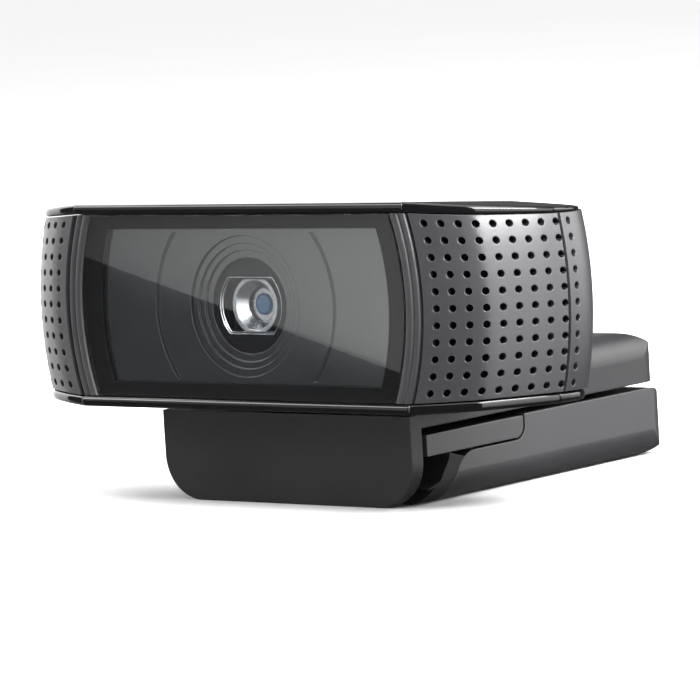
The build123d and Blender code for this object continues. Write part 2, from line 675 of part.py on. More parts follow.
PLATE_SCREWS = [(x, y) for x in (-13.0, 13.0) for y in (36.5, 55.5)]
FOOT_ROOM = 0.2               # space over the bracket's foot, under the hump's front
SHELF_PAD = (38.0, 9.0)       # the pads' width and length
SHELF_PAD_Y = 16.4
LIP_PAD = (36.0, 7.4)
LIP_PAD_Z = 5.8
PAD_FIT = 0.2                 # the pads' pockets are this much larger than the pads
PAD_SINK = (0.6, 0.4)         # pocket depths of the shelf's pad and of the lip's
PAD_PROUD = (0.2, 0.35)
PAD_CORNER = 1.5
PLATE_LIP = 2.0               # how much larger the arm plate's seat is than the hollow
PLATE_SEAT = 1.4
PLATE_T = 1.25
PILOT_R = 0.85                # pilot holes of every self-tapping screw
SCREW_R = (1.8, 0.8)          # head and shank of the plate screws
SCREW_BOSS_R = 2.2
SCREW_LENGTH = 4.6
with BuildPart() as clip_arm:
    with BuildSketch(side(0)):
        with BuildLine():
            Polyline(
                (HUMP_Y[1] - ARM_REAR[0], HUMP_TOP), (HUMP_Y[0], HUMP_TOP), (HUMP_Y[0], SHELF_Z[1]),
                (LIP_Y, SHELF_Z[1]), (LIP_Y, 0), (LIP_Y + LIP_T, 0), (LIP_Y + LIP_T, SHELF_Z[0]),
                (HUMP_Y[1] - 1.2, SHELF_Z[0]), (HUMP_Y[1], HUMP_TOP - ARM_REAR[1]))
            EllipticalCenterArc(
                (HUMP_Y[1] - ARM_REAR[0], HUMP_TOP - ARM_REAR[1]), *ARM_REAR, start_angle=0, arc_size=90)
        make_face()
    extrude(amount=CLIP_HALF_W, both=True)
    with BuildSketch(across(LEG_END + 5)):
        with Locations((0, HUMP_TOP / 2)):
            Rectangle(2 * CLIP_HALF_W, HUMP_TOP)
        fillet(vertices().group_by(Axis.Y)[-1], radius=EDGE_ROUND)
        fillet(vertices().group_by(Axis.Y)[0], radius=LIP_CORNER)
    extrude(amount=LEG_END + 10, mode=Mode.INTERSECT)
    round_rear(HUMP_Y[1])
    for start in (EAR_X[0], -EAR_X[1]):
        with BuildSketch(side(start)):
            with Locations((FOLD_Y, FOLD_Z)):
                Circle(EAR_R)
            with Locations((FOLD_Y, (FOLD_Z + SHELF_Z[0]) / 2 + EAR_ROOT)):
                Rectangle(2 * EAR_R, SHELF_Z[0] - FOLD_Z + 2 * EAR_ROOT)
        extrude(amount=EAR_X[1] - EAR_X[0])
    with BuildSketch(side(0)):
        with Locations((FOLD_Y, FOLD_Z)):
            Circle(PIN_R + SNUG)
    extrude(amount=CLIP_HALF_W, both=True, mode=Mode.SUBTRACT)
    with BuildSketch(flat(SHELF_Z[0])):
        with Locations((0, sum(ARM_POCKET[0]) / 2)):
            Rectangle(2 * ARM_POCKET[1], ARM_POCKET[0][1] - ARM_POCKET[0][0])
            with Locations(*[(x, y - sum(ARM_POCKET[0]) / 2) for x, y in PLATE_SCREWS]):
                Circle(SCREW_BOSS_R, mode=Mode.SUBTRACT)
    extrude(amount=ARM_POCKET[2] - SHELF_Z[0], mode=Mode.SUBTRACT)
    with BuildSketch(flat(SHELF_Z[0])):
        with Locations((0, sum(ARM_POCKET[0]) / 2)):
            Rectangle(2 * ARM_POCKET[1] + PLATE_LIP, ARM_POCKET[0][1] - ARM_POCKET[0][0] + PLATE_LIP)
    extrude(amount=PLATE_SEAT, mode=Mode.SUBTRACT)
    with BuildSketch(flat(SHELF_Z[0])):
        with Locations(*PLATE_SCREWS):
            Circle(PILOT_R)
    extrude(amount=SCREW_LENGTH + 2 * FOOT_ROOM, mode=Mode.SUBTRACT)
    with BuildSketch(flat(FOOT_Z[0])):
        with Locations((0, (FOOT_Y[0] + HUMP_Y[0]) / 2)):
            Rectangle(2 * (FOOT_HALF_W + GAP), HUMP_Y[0] - FOOT_Y[0] + 2 * GAP)
    extrude(amount=SHELF_Z[1] - FOOT_Z[0] + FOOT_ROOM, mode=Mode.SUBTRACT)
    with BuildSketch(flat(SHELF_Z[0])):
        with Locations(*RIVETS):
            Circle(RIVET_R + SNUG)
    extrude(amount=SHELF_Z[1] - SHELF_Z[0], mode=Mode.SUBTRACT)
    with BuildSketch(flat(SHELF_Z[0])):
        with Locations((0, SHELF_PAD_Y)):
            Rectangle(SHELF_PAD[0] + PAD_FIT, SHELF_PAD[1] + PAD_FIT)
    extrude(amount=PAD_SINK[0], mode=Mode.SUBTRACT)
    with BuildSketch(across(LIP_Y + LIP_T)):
        with Locations((0, LIP_PAD_Z)):
            Rectangle(LIP_PAD[0] + PAD_FIT, LIP_PAD[1] + PAD_FIT)
    extrude(amount=PAD_SINK[1], mode=Mode.SUBTRACT)
write(clip_arm, "clip_arm")

with BuildPart() as arm_plate:
    with BuildSketch(flat(SHELF_Z[0] + 2 * GAP)):
        with Locations((0, sum(ARM_POCKET[0]) / 2)):
            Rectangle(
                2 * (ARM_POCKET[1] - GAP) + PLATE_LIP,
                ARM_POCKET[0][1] - ARM_POCKET[0][0] + PLATE_LIP - 2 * GAP)
        with Locations(*PLATE_SCREWS):
            Circle(SCREW_R[1] + 4 * GAP, mode=Mode.SUBTRACT)
    extrude(amount=PLATE_T)
    with BuildSketch(flat(SHELF_Z[0] + 2 * GAP)):
        with Locations(*PLATE_SCREWS):
            Circle(SCREW_R[0] + 2 * GAP)
    extrude(amount=PLATE_T / 2, mode=Mode.SUBTRACT)
write(arm_plate, "arm_plate")

with BuildPart() as arm_screws:
    with BuildSketch(flat(SHELF_Z[0] + 4 * GAP)):
        with Locations(*PLATE_SCREWS):
            Circle(SCREW_R[0])
    extrude(amount=PLATE_T / 2 - 3 * GAP)
    with BuildSketch(flat(SHELF_Z[0] + 4 * GAP)):
        with Locations(*PLATE_SCREWS):
            Circle(SCREW_R[1])
    extrude(amount=SCREW_LENGTH)
write(arm_screws, "arm_screws")

with BuildPart() as shelf_pad:
    with BuildSketch(flat(SHELF_Z[0] - PAD_PROUD[0])):
        with Locations((0, SHELF_PAD_Y)):
            RectangleRounded(*SHELF_PAD, PAD_CORNER)
    extrude(amount=PAD_SINK[0] + PAD_PROUD[0] - SNUG)
write(shelf_pad, "shelf_pad")

with BuildPart() as lip_pad:
    with BuildSketch(across(LIP_Y + LIP_T + PAD_PROUD[1])):
        with Locations((0, LIP_PAD_Z)):
            RectangleRounded(*LIP_PAD, PAD_CORNER)
    extrude(amount=PAD_SINK[1] + PAD_PROUD[1] - SNUG)
write(lip_pad, "lip_pad")

PIN_HALF = 20.0
with BuildPart() as fold_pin:
    with BuildSketch(side(0)):
        with Locations((FOLD_Y, FOLD_Z)):
            Circle(PIN_R)
    extrude(amount=PIN_HALF, both=True)
write(fold_pin, "fold_pin")

# ---------------------------------------------------------------- folding leg
LEG_POCKET = ((37.5, 58.0), 17.0, 2.0)    # y range, half width and floor of the leg's hollow
LEG_PLATE_T = 1.5
NOTCH = [(16.4, 0.0), (18.2, 3.6), (22.2, 6.55)]
NOTCH_ENDS = ((0.35, 1), (1, 0.1))
LEG_SCREWS = [(x, y) for x in (-14.0, 14.0) for y in (40.5, 55.0)]
LEG_PLATE_LIP = 2.4
LEG_SCREW_FOOT = 4.0          # bottom of the leg's pilot holes
INSERT_WALL = 1.8
SLOT_LENGTH = 18.2            # the slots that clear the arm's ears
SLOT_FIT = 0.4


def leg_section():
    """The leg's section, rounded along its two lower edges."""
    with BuildSketch(across(LEG_END + 5)) as section:
        with Locations((0, LEG_TOP / 2)):
            Rectangle(2 * CLIP_HALF_W, LEG_TOP)
        fillet(section.vertices().group_by(Axis.Y)[0], radius=EDGE_ROUND)
    extrude(section.sketch, amount=LEG_END + 10, mode=Mode.INTERSECT)


with BuildPart() as leg_shell:
    with BuildSketch(side(0)):
        with BuildLine():
            Spline(*NOTCH, tangents=NOTCH_ENDS)
            Line(NOTCH[-1], (TONGUE[0] - 2.0, NOTCH[-1][1]))
            ThreePointArc(
                (TONGUE[0] - 2.0, NOTCH[-1][1]), (TONGUE[0] - 0.3, NOTCH[-1][1] + 0.6), (TONGUE[0] + 0.3, 8.8))
            Polyline((TONGUE[0] + 0.3, 8.8), (TONGUE[0] + 0.3, LEG_TOP), (FOLD_Y, LEG_TOP))
            ThreePointArc((FOLD_Y, LEG_TOP), (LEG_END, LEG_ROUND), (FOLD_Y, 0))
            Line((FOLD_Y, 0), NOTCH[0])
        make_face()
    extrude(amount=CLIP_HALF_W, both=True)
    leg_section()
    round_rear(LEG_END)
    with BuildSketch(flat(LEG_POCKET[2])):
        with Locations((0, sum(LEG_POCKET[0]) / 2)):
            Rectangle(2 * LEG_POCKET[1], LEG_POCKET[0][1] - LEG_POCKET[0][0])
        with Locations(*LEG_SCREWS):
            Circle(SCREW_BOSS_R, mode=Mode.SUBTRACT)
        with Locations((0, INSERT_Y)):
            Circle(INSERT_R + INSERT_WALL, mode=Mode.SUBTRACT)
    extrude(amount=LEG_TOP, mode=Mode.SUBTRACT)
    with BuildSketch(flat(LEG_TOP - LEG_PLATE_T)):
        with Locations((0, sum(LEG_POCKET[0]) / 2)):
            Rectangle(2 * LEG_POCKET[1] + LEG_PLATE_LIP, LEG_POCKET[0][1] - LEG_POCKET[0][0] + LEG_PLATE_LIP)
    extrude(amount=LEG_TOP, mode=Mode.SUBTRACT)
    with BuildSketch(flat(LEG_SCREW_FOOT)):
        with Locations(*LEG_SCREWS):
            Circle(PILOT_R)
    extrude(amount=LEG_TOP, mode=Mode.SUBTRACT)
    with BuildSketch(flat(0)):
        with Locations((0, INSERT_Y)):
            Circle(INSERT_R + SNUG)
    extrude(amount=INSERT_LENGTH + INSERT_SINK, mode=Mode.SUBTRACT)
    with BuildSketch(flat(0)):
        with Locations((sum(EAR_X) / 2, FOLD_Y + LEG_ROUND), (-sum(EAR_X) / 2, FOLD_Y + LEG_ROUND)):
            Rectangle(EAR_X[1] - EAR_X[0] + SLOT_FIT, SLOT_LENGTH)
    extrude(amount=LEG_TOP, mode=Mode.SUBTRACT)
    with BuildSketch(side(0)):
        with Locations((FOLD_Y, FOLD_Z)):
            Circle(PIN_R + FIT)
    extrude(amount=PIN_HALF + 4 * GAP, both=True, mode=Mode.SUBTRACT)
write(leg_shell, "leg_shell")

with BuildPart() as leg_plate:
    with BuildSketch(flat(LEG_TOP - LEG_PLATE_T + GAP)):
        with Locations((0, sum(LEG_POCKET[0]) / 2)):
            Rectangle(
                2 * (LEG_POCKET[1] - GAP) + LEG_PLATE_LIP,
                LEG_POCKET[0][1] - LEG_POCKET[0][0] + LEG_PLATE_LIP - 2 * GAP)
        with Locations(*LEG_SCREWS):
            Circle(SCREW_R[1] + 4 * GAP, mode=Mode.SUBTRACT)
    extrude(amount=LEG_PLATE_T - 2 * GAP)
    with BuildSketch(flat(LEG_TOP - LEG_PLATE_T / 2)):
        with Locations(*LEG_SCREWS):
            Circle(SCREW_R[0] + 2 * GAP)
    extrude(amount=LEG_PLATE_T, mode=Mode.SUBTRACT)
write(leg_plate, "leg_plate")

with BuildPart() as leg_screws:
    with BuildSketch(flat(LEG_TOP - LEG_PLATE_T / 2)):
        with Locations(*LEG_SCREWS):
            Circle(SCREW_R[0])
    extrude(amount=LEG_PLATE_T / 2 - 3 * GAP)
    with BuildSketch(flat(LEG_SCREW_FOOT + 4 * GAP)):
        with Locations(*LEG_SCREWS):
            Circle(SCREW_R[1])
    extrude(amount=LEG_TOP - LEG_SCREW_FOOT - 8 * GAP)
write(leg_screws, "leg_screws")

with BuildPart() as tripod_insert:
    with BuildSketch(flat(INSERT_SINK)):
        with Locations((0, INSERT_Y)):
            Circle(INSERT_R)
            Circle(THREAD_R, mode=Mode.SUBTRACT)
    extrude(amount=INSERT_LENGTH)
write(tripod_insert, "tripod_insert")

with BuildPart() as foot_bar:
    with BuildSketch(side(0)):
        with BuildLine():
            Line((TOE_Y, TONGUE[1]), (TONGUE[0] - 2.1, TONGUE[1]))
            ThreePointArc(
                (TONGUE[0] - 2.1, TONGUE[1]), (TONGUE[0] - 0.5, TONGUE[1] + 0.5), (TONGUE[0], TONGUE[1] + 2.0))
            Polyline(
                (TONGUE[0], TONGUE[1] + 2.0), (TONGUE[0], TONGUE[2]), (TOE_Y, TONGUE[2]), (TOE_Y, TONGUE[1]))
        make_face()
    extrude(amount=CLIP_HALF_W - 0.1, both=True)
write(foot_bar, "foot_bar")

with BuildPart() as rubber_toe:
    with BuildSketch(side(0)):
        with BuildLine():
            Spline(*[(y - 0.1, z) for y, z in NOTCH], tangents=NOTCH_ENDS)
            Polyline(
                (NOTCH[-1][0] - 0.1, NOTCH[-1][1]), (NOTCH[-1][0] - 0.1, TONGUE[1] - 0.05),
                (16.8, TONGUE[1] - 0.05))
            Spline((16.8, TONGUE[1] - 0.05), (15.3, 4.3), (13.3, 2.2), tangents=((-0.3, -1), (-1, -0.1)))
            Polyline((13.3, 2.2), (TOE_Y, 2.2), (TOE_Y, 0), (NOTCH[0][0] - 0.1, 0))
        make_face()
    extrude(amount=CLIP_HALF_W, both=True)
    leg_section()
write(rubber_toe, "rubber_toe")
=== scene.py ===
# %% [markdown]
# # A clip-on webcam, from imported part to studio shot
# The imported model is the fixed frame: every solid already stands where it belongs, in metres.
# This lesson gives each visible moulding its real surface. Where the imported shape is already
# right it keeps it and gets a new material; where the eye wants rounded lips, ribs or soft
# rubber, a new mesh stands in for it. An empty file is the best start, so the start-up cube,
# lamp and camera go first.

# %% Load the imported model
import json
import math

import bmesh
import bpy
from mathutils import Matrix, Vector
from mathutils.geometry import interpolate_bezier

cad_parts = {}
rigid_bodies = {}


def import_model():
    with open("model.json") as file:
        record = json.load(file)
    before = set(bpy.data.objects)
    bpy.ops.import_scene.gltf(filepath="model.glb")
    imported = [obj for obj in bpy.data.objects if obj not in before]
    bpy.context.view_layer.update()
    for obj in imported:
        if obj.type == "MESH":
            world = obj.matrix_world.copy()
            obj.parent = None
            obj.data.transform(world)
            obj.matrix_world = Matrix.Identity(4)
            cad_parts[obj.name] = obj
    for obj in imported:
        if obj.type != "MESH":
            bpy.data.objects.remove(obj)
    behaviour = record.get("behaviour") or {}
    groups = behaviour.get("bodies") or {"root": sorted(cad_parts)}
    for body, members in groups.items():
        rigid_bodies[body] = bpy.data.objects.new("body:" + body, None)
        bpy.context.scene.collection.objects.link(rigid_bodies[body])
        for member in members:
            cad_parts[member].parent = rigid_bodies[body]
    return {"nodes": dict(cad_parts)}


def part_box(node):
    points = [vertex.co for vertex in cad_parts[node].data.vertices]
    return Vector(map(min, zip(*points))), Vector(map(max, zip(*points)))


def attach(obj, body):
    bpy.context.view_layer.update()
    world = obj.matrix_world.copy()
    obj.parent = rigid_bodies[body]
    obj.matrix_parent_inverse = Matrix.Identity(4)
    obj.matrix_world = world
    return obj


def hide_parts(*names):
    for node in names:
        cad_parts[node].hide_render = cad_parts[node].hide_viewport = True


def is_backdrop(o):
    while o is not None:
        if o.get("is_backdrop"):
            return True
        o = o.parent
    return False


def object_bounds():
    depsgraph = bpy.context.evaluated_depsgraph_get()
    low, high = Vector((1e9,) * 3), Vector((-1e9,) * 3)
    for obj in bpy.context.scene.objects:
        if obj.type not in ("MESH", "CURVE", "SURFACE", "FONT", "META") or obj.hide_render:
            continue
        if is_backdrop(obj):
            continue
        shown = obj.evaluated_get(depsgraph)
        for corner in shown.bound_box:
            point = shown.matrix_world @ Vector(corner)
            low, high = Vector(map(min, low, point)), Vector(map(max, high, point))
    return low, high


for leftover in list(bpy.data.objects):
    bpy.data.objects.remove(leftover)
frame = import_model()
cad_low, cad_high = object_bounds()
print("packed model", [round(side * 1000, 1) for side in cad_high - cad_low], "mm")
print(len(frame["nodes"]), "nodes")

# %% [markdown]
# ## Two working frames
# The head looks up by two degrees and the clip is level, so each has its own frame. A matrix
# takes sizes in millimetres in that frame to metres in the model. Both are hung on packed
# nodes, never on typed positions: the printed border behind the window is a flat plate, so its
# middle is a sure point of the head, and the lip is the frontmost point of the clip.

# %% Frames of the head and the clip
HEAD_UP = 2.0
BORDER_DEPTH = 1.175
LIP_DEPTH = 8.4
MM = Matrix.Scale(0.001, 4)

border_low, border_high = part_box("window_border")
HEAD = (
    Matrix.Translation((border_low + border_high) / 2)
    @ Matrix.Rotation(math.radians(-HEAD_UP), 4, "X")
    @ MM
    @ Matrix.Translation((0, -BORDER_DEPTH, 0))
)
lip_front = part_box("clip_arm")[0].y
CLIP = Matrix.Translation((0, lip_front, 0)) @ MM @ Matrix.Translation((0, -LIP_DEPTH, 0))
print("head frame at", [round(v * 1000, 2) for v in HEAD.translation], "mm")
print("clip frame at", [round(v * 1000, 2) for v in CLIP.translation], "mm")

# %% [markdown]
# ## The camera
# The webcam is seen from its right, a little above, by a long lens. The camera stands at an
# azimuth and an elevation round the middle of the head's front, rolls slightly, and slides
# sideways in its own plane to centre the object. A long lens keeps the near and the far end of
# the head almost the same height.

# %% Place the camera
AZIMUTH = math.radians(39.4)
ELEVATION = math.radians(5.54)
ROLL = math.radians(3.48)
DISTANCE = 0.6268
LENS = 230.8
SLIDE = (0.01388, 0.02265)

back = Vector((
    math.sin(AZIMUTH) * math.cos(ELEVATION),
    -math.cos(AZIMUTH) * math.cos(ELEVATION),
    math.sin(ELEVATION),
))
level_right = Vector((math.cos(AZIMUTH), math.sin(AZIMUTH), 0))
level_up = back.cross(level_right)
right = math.cos(ROLL) * level_right - math.sin(ROLL) * level_up
up = math.sin(ROLL) * level_right + math.cos(ROLL) * level_up
aim = Vector((0, CLIP.translation.y, 0))

camera = bpy.data.objects.new("camera", bpy.data.cameras.new("camera"))
bpy.context.scene.collection.objects.link(camera)
camera.data.lens = LENS
camera.data.sensor_width = 36
camera.data.clip_start = 0.05
camera.data.clip_end = 60
turn = Matrix((right, up, back)).transposed().to_4x4()
camera.matrix_world = Matrix.Translation(aim + back * DISTANCE + right * SLIDE[0] + up * SLIDE[1]) @ turn
bpy.context.scene.camera = camera
print("camera", [round(v, 3) for v in camera.location], "m")

# %% [markdown]
# ## Node and colour helpers
# Every finish below is a small node tree. One function adds a node, sets its fields, fills its
# sockets and links them. Colours are written as the hex codes a paint chart would use, and one
# function turns them into the linear light that the renderer works in.

# %% Helpers for materials


def linear(code):
    """A hex colour as linear red, green, blue and full alpha."""
    channels = [int(code[i:i + 2], 16) / 255 for i in (1, 3, 5)]
    return tuple(c / 12.92 if c <= 0.04045 else ((c + 0.055) / 1.055) ** 2.4 for c in channels) + (1.0,)


def add(tree, kind, sockets=None, links=None, **fields):
    """Adds one node: fields first, then socket values, then links from other nodes' outputs."""
    made = tree.nodes.new(kind)
    for field, value in fields.items():
        setattr(made, field, value)
    for socket, value in (sockets or {}).items():
        made.inputs[socket].default_value = value
    for socket, source in (links or {}).items():
        tree.links.new(source, made.inputs[socket])
    return made


def new_material(name):
    """An empty node material, its shader and its tree."""
    made = bpy.data.materials.new(name)
    made.use_nodes = True
    tree = made.node_tree
    return made, tree, tree.nodes["Principled BSDF"]


def per_metre(millimetres):
    """Texture scale that repeats once in this many millimetres."""
    return 1000 / millimetres


def noise(tree, place, millimetres, detail):
    """Noise whose blotches are this wide; gives its value."""
    return add(
        tree, "ShaderNodeTexNoise", {"Scale": per_metre(millimetres), "Detail": detail},
        {"Vector": place}).outputs["Fac"]


def blend(tree, first, second, share):
    """A colour that runs between two hex colours by a value."""
    return add(
        tree, "ShaderNodeMix", {"A": linear(first), "B": linear(second)}, {"Factor": share},
        data_type="RGBA").outputs["Result"]


def between(tree, low, high, value):
    """A value from 0 to 1 taken to run from low to high."""
    return add(
        tree, "ShaderNodeMapRange", {"To Min": low, "To Max": high}, {"Value": value}).outputs["Result"]


print("white is", linear("#ffffff"), "and mid grey is", [round(c, 3) for c in linear("#808080")])

# %% [markdown]
# ## Moulded plastics
# Nearly all of the webcam is injection-moulded ABS. Its look comes from the steel mould: a
# polished mould gives gloss with a faint ripple, a spark-eroded one gives a satin or matte
# grain. The same tree makes them all: fine noise for the grain, slow noise that drifts the
# tone and roughness as real mouldings do, and a rounded-edge normal that lets sharp edges of
# imported solids catch a line of light, with a lighter colour painted there as a highlight.

# %% Recipe for a moulded plastic
DRIFT = 14    # how wide the slow blotches of tone are, in millimetres


def moulded(name, dark, light, rough, spread, grain, height, specular, edge, painted_edge_highlight="#4a4a4d", ior=1.53):
    """A moulded plastic; grain, height and edge are in millimetres, and the edge colour is a painted highlight
    laid along its edges.
    """
    made, tree, shader = new_material(name)
    place = add(tree, "ShaderNodeTexCoord").outputs["Object"]
    drift = noise(tree, place, DRIFT, 3.0)
    fine = noise(tree, place, grain, 2.0)
    rounded = add(tree, "ShaderNodeBevel", {"Radius": edge * 0.001}, samples=4)
    surface = add(tree, "ShaderNodeNewGeometry")
    turned = add(
        tree, "ShaderNodeVectorMath", None,
        {0: rounded.outputs["Normal"], 1: surface.outputs["Normal"]}, operation="DOT_PRODUCT")
    # Where the rounded normal turns away from the face, the colour is lightened: a painted highlight along the
    # edges.
    painted_edge_mask = add(
        tree, "ShaderNodeMapRange", {"From Min": 0.98, "From Max": 0.8, "To Max": 0.35},
        {"Value": turned.outputs["Value"]})
    painted_edge_mix = add(
        tree, "ShaderNodeMix", {"B": linear(painted_edge_highlight)},
        {"Factor": painted_edge_mask.outputs["Result"], "A": blend(tree, dark, light, drift)}, data_type="RGBA")
    gloss = add(
        tree, "ShaderNodeMapRange",
        {"From Min": 0.3, "From Max": 0.7, "To Min": rough - spread, "To Max": rough + spread},
        {"Value": drift})
    bump = add(
        tree, "ShaderNodeBump", {"Strength": 1.0, "Distance": height * 0.001},
        {"Height": fine, "Normal": rounded.outputs["Normal"]})
    tree.links.new(painted_edge_mix.outputs["Result"], shader.inputs["Base Color"])
    tree.links.new(gloss.outputs["Result"], shader.inputs["Roughness"])
    tree.links.new(bump.outputs["Normal"], shader.inputs["Normal"])
    shader.inputs["Specular IOR Level"].default_value = specular
    shader.inputs["IOR"].default_value = ior
    return made


# Polished mould: mirror-like with a slight orange peel some 3 mm long.
gloss_black = moulded("gloss_black_abs_polished", "#060607", "#0b0b0c", 0.07, 0.02, 3.0, 0.004, 0.5, 0.12)
# Spark-eroded mould: a soft satin; the real 0.1 mm grain is drawn at 0.3 mm so that it shows.
# Its edges get a grey painted highlight.
satin_black = moulded(
    "satin_black_abs_spark_eroded", "#29292b", "#313133", 0.34, 0.04, 0.3, 0.01, 0.6, 0.2, "#6a6a6d")
# Coarser spark erosion: matte and darker, for the clip's lip, arm and inner frame.
matte_black = moulded("matte_black_abs_textured", "#1f1f21", "#262628", 0.46, 0.05, 0.4, 0.018, 0.4, 0.3)
# Metallic ink screened on the panel behind the window: dark, but it mirrors softly.
# A pale painted highlight lines its edges.
panel_ink = moulded(
    "screen_printed_metallic_panel", "#1e1e20", "#262628", 0.08, 0.01, 6.0, 0.0004, 0.5, 0.16, "#77777a", 1.95)
# The window's border is printed on its rear, so it is flat black and bonded to the acrylic.
border_ink = moulded("screen_printed_black_border", "#08080a", "#0d0d0f", 0.5, 0.04, 0.5, 0.001, 0.1, 0.05)
# Epoxy that chips are potted in, flat and dusty.
chip_epoxy = moulded("potted_epoxy_chip", "#141414", "#1d1d1c", 0.7, 0.05, 0.15, 0.01, 0.4, 0.05)
# Pressed silicone rubber: soft, flat and slightly bloomed.
rubber_black = moulded("pressed_silicone_rubber", "#0d0d0e", "#161617", 0.72, 0.08, 0.35, 0.02, 0.3, 0.2)
# Acoustic cloth behind the perforations, near black.
acoustic_cloth = moulded("woven_acoustic_cloth", "#050505", "#0b0b0b", 0.85, 0.05, 0.3, 0.05, 0.2, 0.05)
# White diffusing caps of the status lights.
lamp_white = moulded(
    "diffusing_white_polycarbonate", "#dcdad0", "#e8e6dc", 0.35, 0.05, 0.4, 0.003, 0.5, 0.05)
# Smoked light guide: grey and glossy, lit only when the camera runs.
# Its edges carry a bright painted highlight.
smoked_guide = moulded(
    "smoked_light_guide_acrylic", "#0a0a0b", "#121214", 0.2, 0.04, 0.6, 0.002, 0.5, 0.12, "#8c8d90")
print(len(bpy.data.materials), "materials so far")

# %% [markdown]
# ## Metals
# Screws, pins and the hinge bracket are plated steel, the tripod insert is turned brass and the
# funnel round the lens is bright aluminium. Metal shows its making in fine parallel lines, so
# the tree stretches noise along one axis. The funnel and the insert are turned, and their lines
# run round an axis; a ring wave centred by a Mapping node draws those.

# %% Recipe for a drawn metal


def drawn_metal(name, dark, light, rough, line):
    """A plated or rolled metal with fine lines along X; line is their width in millimetres."""
    made, tree, shader = new_material(name)
    place = add(tree, "ShaderNodeTexCoord").outputs["Object"]
    stretched = add(tree, "ShaderNodeMapping", {"Scale": (0.06, 1.0, 1.0)}, {"Vector": place})
    lines = noise(tree, stretched.outputs["Vector"], line, 3.0)
    rounded = add(tree, "ShaderNodeBevel", {"Radius": 0.00012}, samples=4)
    bump = add(
        tree, "ShaderNodeBump", {"Strength": 1.0, "Distance": 0.000004},
        {"Height": lines, "Normal": rounded.outputs["Normal"]})
    tree.links.new(blend(tree, dark, light, lines), shader.inputs["Base Color"])
    tree.links.new(between(tree, rough - 0.08, rough + 0.08, lines), shader.inputs["Roughness"])
    tree.links.new(bump.outputs["Normal"], shader.inputs["Normal"])
    shader.inputs["Metallic"].default_value = 1.0
    return made


# Zinc-plated steel: cool, slightly milky.
plated_steel = drawn_metal("zinc_plated_steel", "#9a9da1", "#c4c6c9", 0.34, 0.12)
# Anodised aluminium dyed black: a soft dark metal.
anodised_black = drawn_metal("black_anodised_aluminium", "#1a1a1c", "#2a2a2d", 0.42, 0.2)
# Enamelled copper windings seen side on.
enamelled_copper = drawn_metal("enamelled_copper_wire", "#8a4a24", "#c07a45", 0.3, 0.08)

# %% Recipe for a turned metal


def turned_metal(name, dark, light, rough, groove, centre):
    """A metal turned on a lathe: rings of the given width round a line along Z through centre."""
    made, tree, shader = new_material(name)
    place = add(tree, "ShaderNodeTexCoord").outputs["Object"]
    centred = add(tree, "ShaderNodeMapping", {"Location": centre}, {"Vector": place})
    rings = add(
        tree, "ShaderNodeTexWave", {"Scale": per_metre(groove) / 20, "Distortion": 0.4, "Detail": 1.0},
        {"Vector": centred.outputs["Vector"]}, wave_type="RINGS", rings_direction="Z")
    height = rings.outputs["Fac"]
    bump = add(tree, "ShaderNodeBump", {"Strength": 0.5, "Distance": 0.000006}, {"Height": height})
    tree.links.new(blend(tree, dark, light, height), shader.inputs["Base Color"])
    tree.links.new(between(tree, rough - 0.05, rough + 0.05, height), shader.inputs["Roughness"])
    tree.links.new(bump.outputs["Normal"], shader.inputs["Normal"])
    shader.inputs["Metallic"].default_value = 1.0
    return made


insert_low, insert_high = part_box("tripod_insert")
insert_middle = (insert_low + insert_high) / 2
# Turned brass of the tripod insert.
turned_brass = turned_metal(
    "turned_brass_insert", "#8d6d34", "#c39f5a", 0.28, 0.25, (-insert_middle.x, -insert_middle.y, 0))
# Bright aluminium of the funnel round the lens, with its faint machining.
bright_aluminium = drawn_metal("bright_anodised_aluminium", "#b4b6ba", "#d9dbde", 0.24, 0.3)
print(len(bpy.data.materials), "materials so far")

# %% [markdown]
# ## Glass and acrylic
# The window is clear acrylic over a dark panel. A plain glass shader starves what lies behind
# it of light, because light that reaches a surface through glass is hard to trace. So shadow
# rays pass straight through it, and the panel is lit as through a thin sheet. The front lens
# has an anti-reflection coating: what it does reflect is teal at its middle and violet at its
# rim, which a facing-angle ramp gives.

# %% Clear window, coated lens, filter and board


def clear_sheet(name, tint, rough, ior):
    """A clear moulded sheet that lets shadow rays through; a faint haze varies its gloss."""
    made, tree, shader = new_material(name)
    place = add(tree, "ShaderNodeTexCoord").outputs["Object"]
    haze = noise(tree, place, 25, 2.0)
    tree.links.new(between(tree, rough, rough + 0.02, haze), shader.inputs["Roughness"])
    shader.inputs["Base Color"].default_value = linear(tint)
    shader.inputs["Transmission Weight"].default_value = 1.0
    shader.inputs["IOR"].default_value = ior
    passing = add(tree, "ShaderNodeBsdfTransparent", {"Color": linear(tint)})
    ray = add(tree, "ShaderNodeLightPath")
    both = add(
        tree, "ShaderNodeMixShader", None,
        {0: ray.outputs["Is Shadow Ray"], 1: shader.outputs["BSDF"], 2: passing.outputs["BSDF"]})
    tree.links.new(both.outputs["Shader"], tree.nodes["Material Output"].inputs["Surface"])
    return made


# Polished PMMA, water clear.
clear_acrylic = clear_sheet("clear_polished_acrylic", "#f4f6f6", 0.0, 1.49)
# Infrared-cut glass, blue-green.
filter_glass = clear_sheet("infrared_cut_glass", "#8fc4bf", 0.02, 1.52)


def coated_lens(name, middle, rim):
    """Dark lens glass whose coating shifts colour from its middle to its rim."""
    made, tree, shader = new_material(name)
    facing = add(tree, "ShaderNodeLayerWeight", {"Blend": 0.35})
    place = add(tree, "ShaderNodeTexCoord").outputs["Object"]
    dust = noise(tree, place, 0.4, 2.0)
    tree.links.new(blend(tree, middle, rim, facing.outputs["Facing"]), shader.inputs["Base Color"])
    tree.links.new(between(tree, 0.02, 0.08, dust), shader.inputs["Roughness"])
    shader.inputs["Coat Weight"].default_value = 1.0
    shader.inputs["Coat Roughness"].default_value = 0.02
    shader.inputs["Coat Tint"].default_value = linear("#bfe6ff")
    shader.inputs["IOR"].default_value = 1.6
    return made


lens_coating = coated_lens("coated_optical_glass", "#1d5b6e", "#5a4f9a")


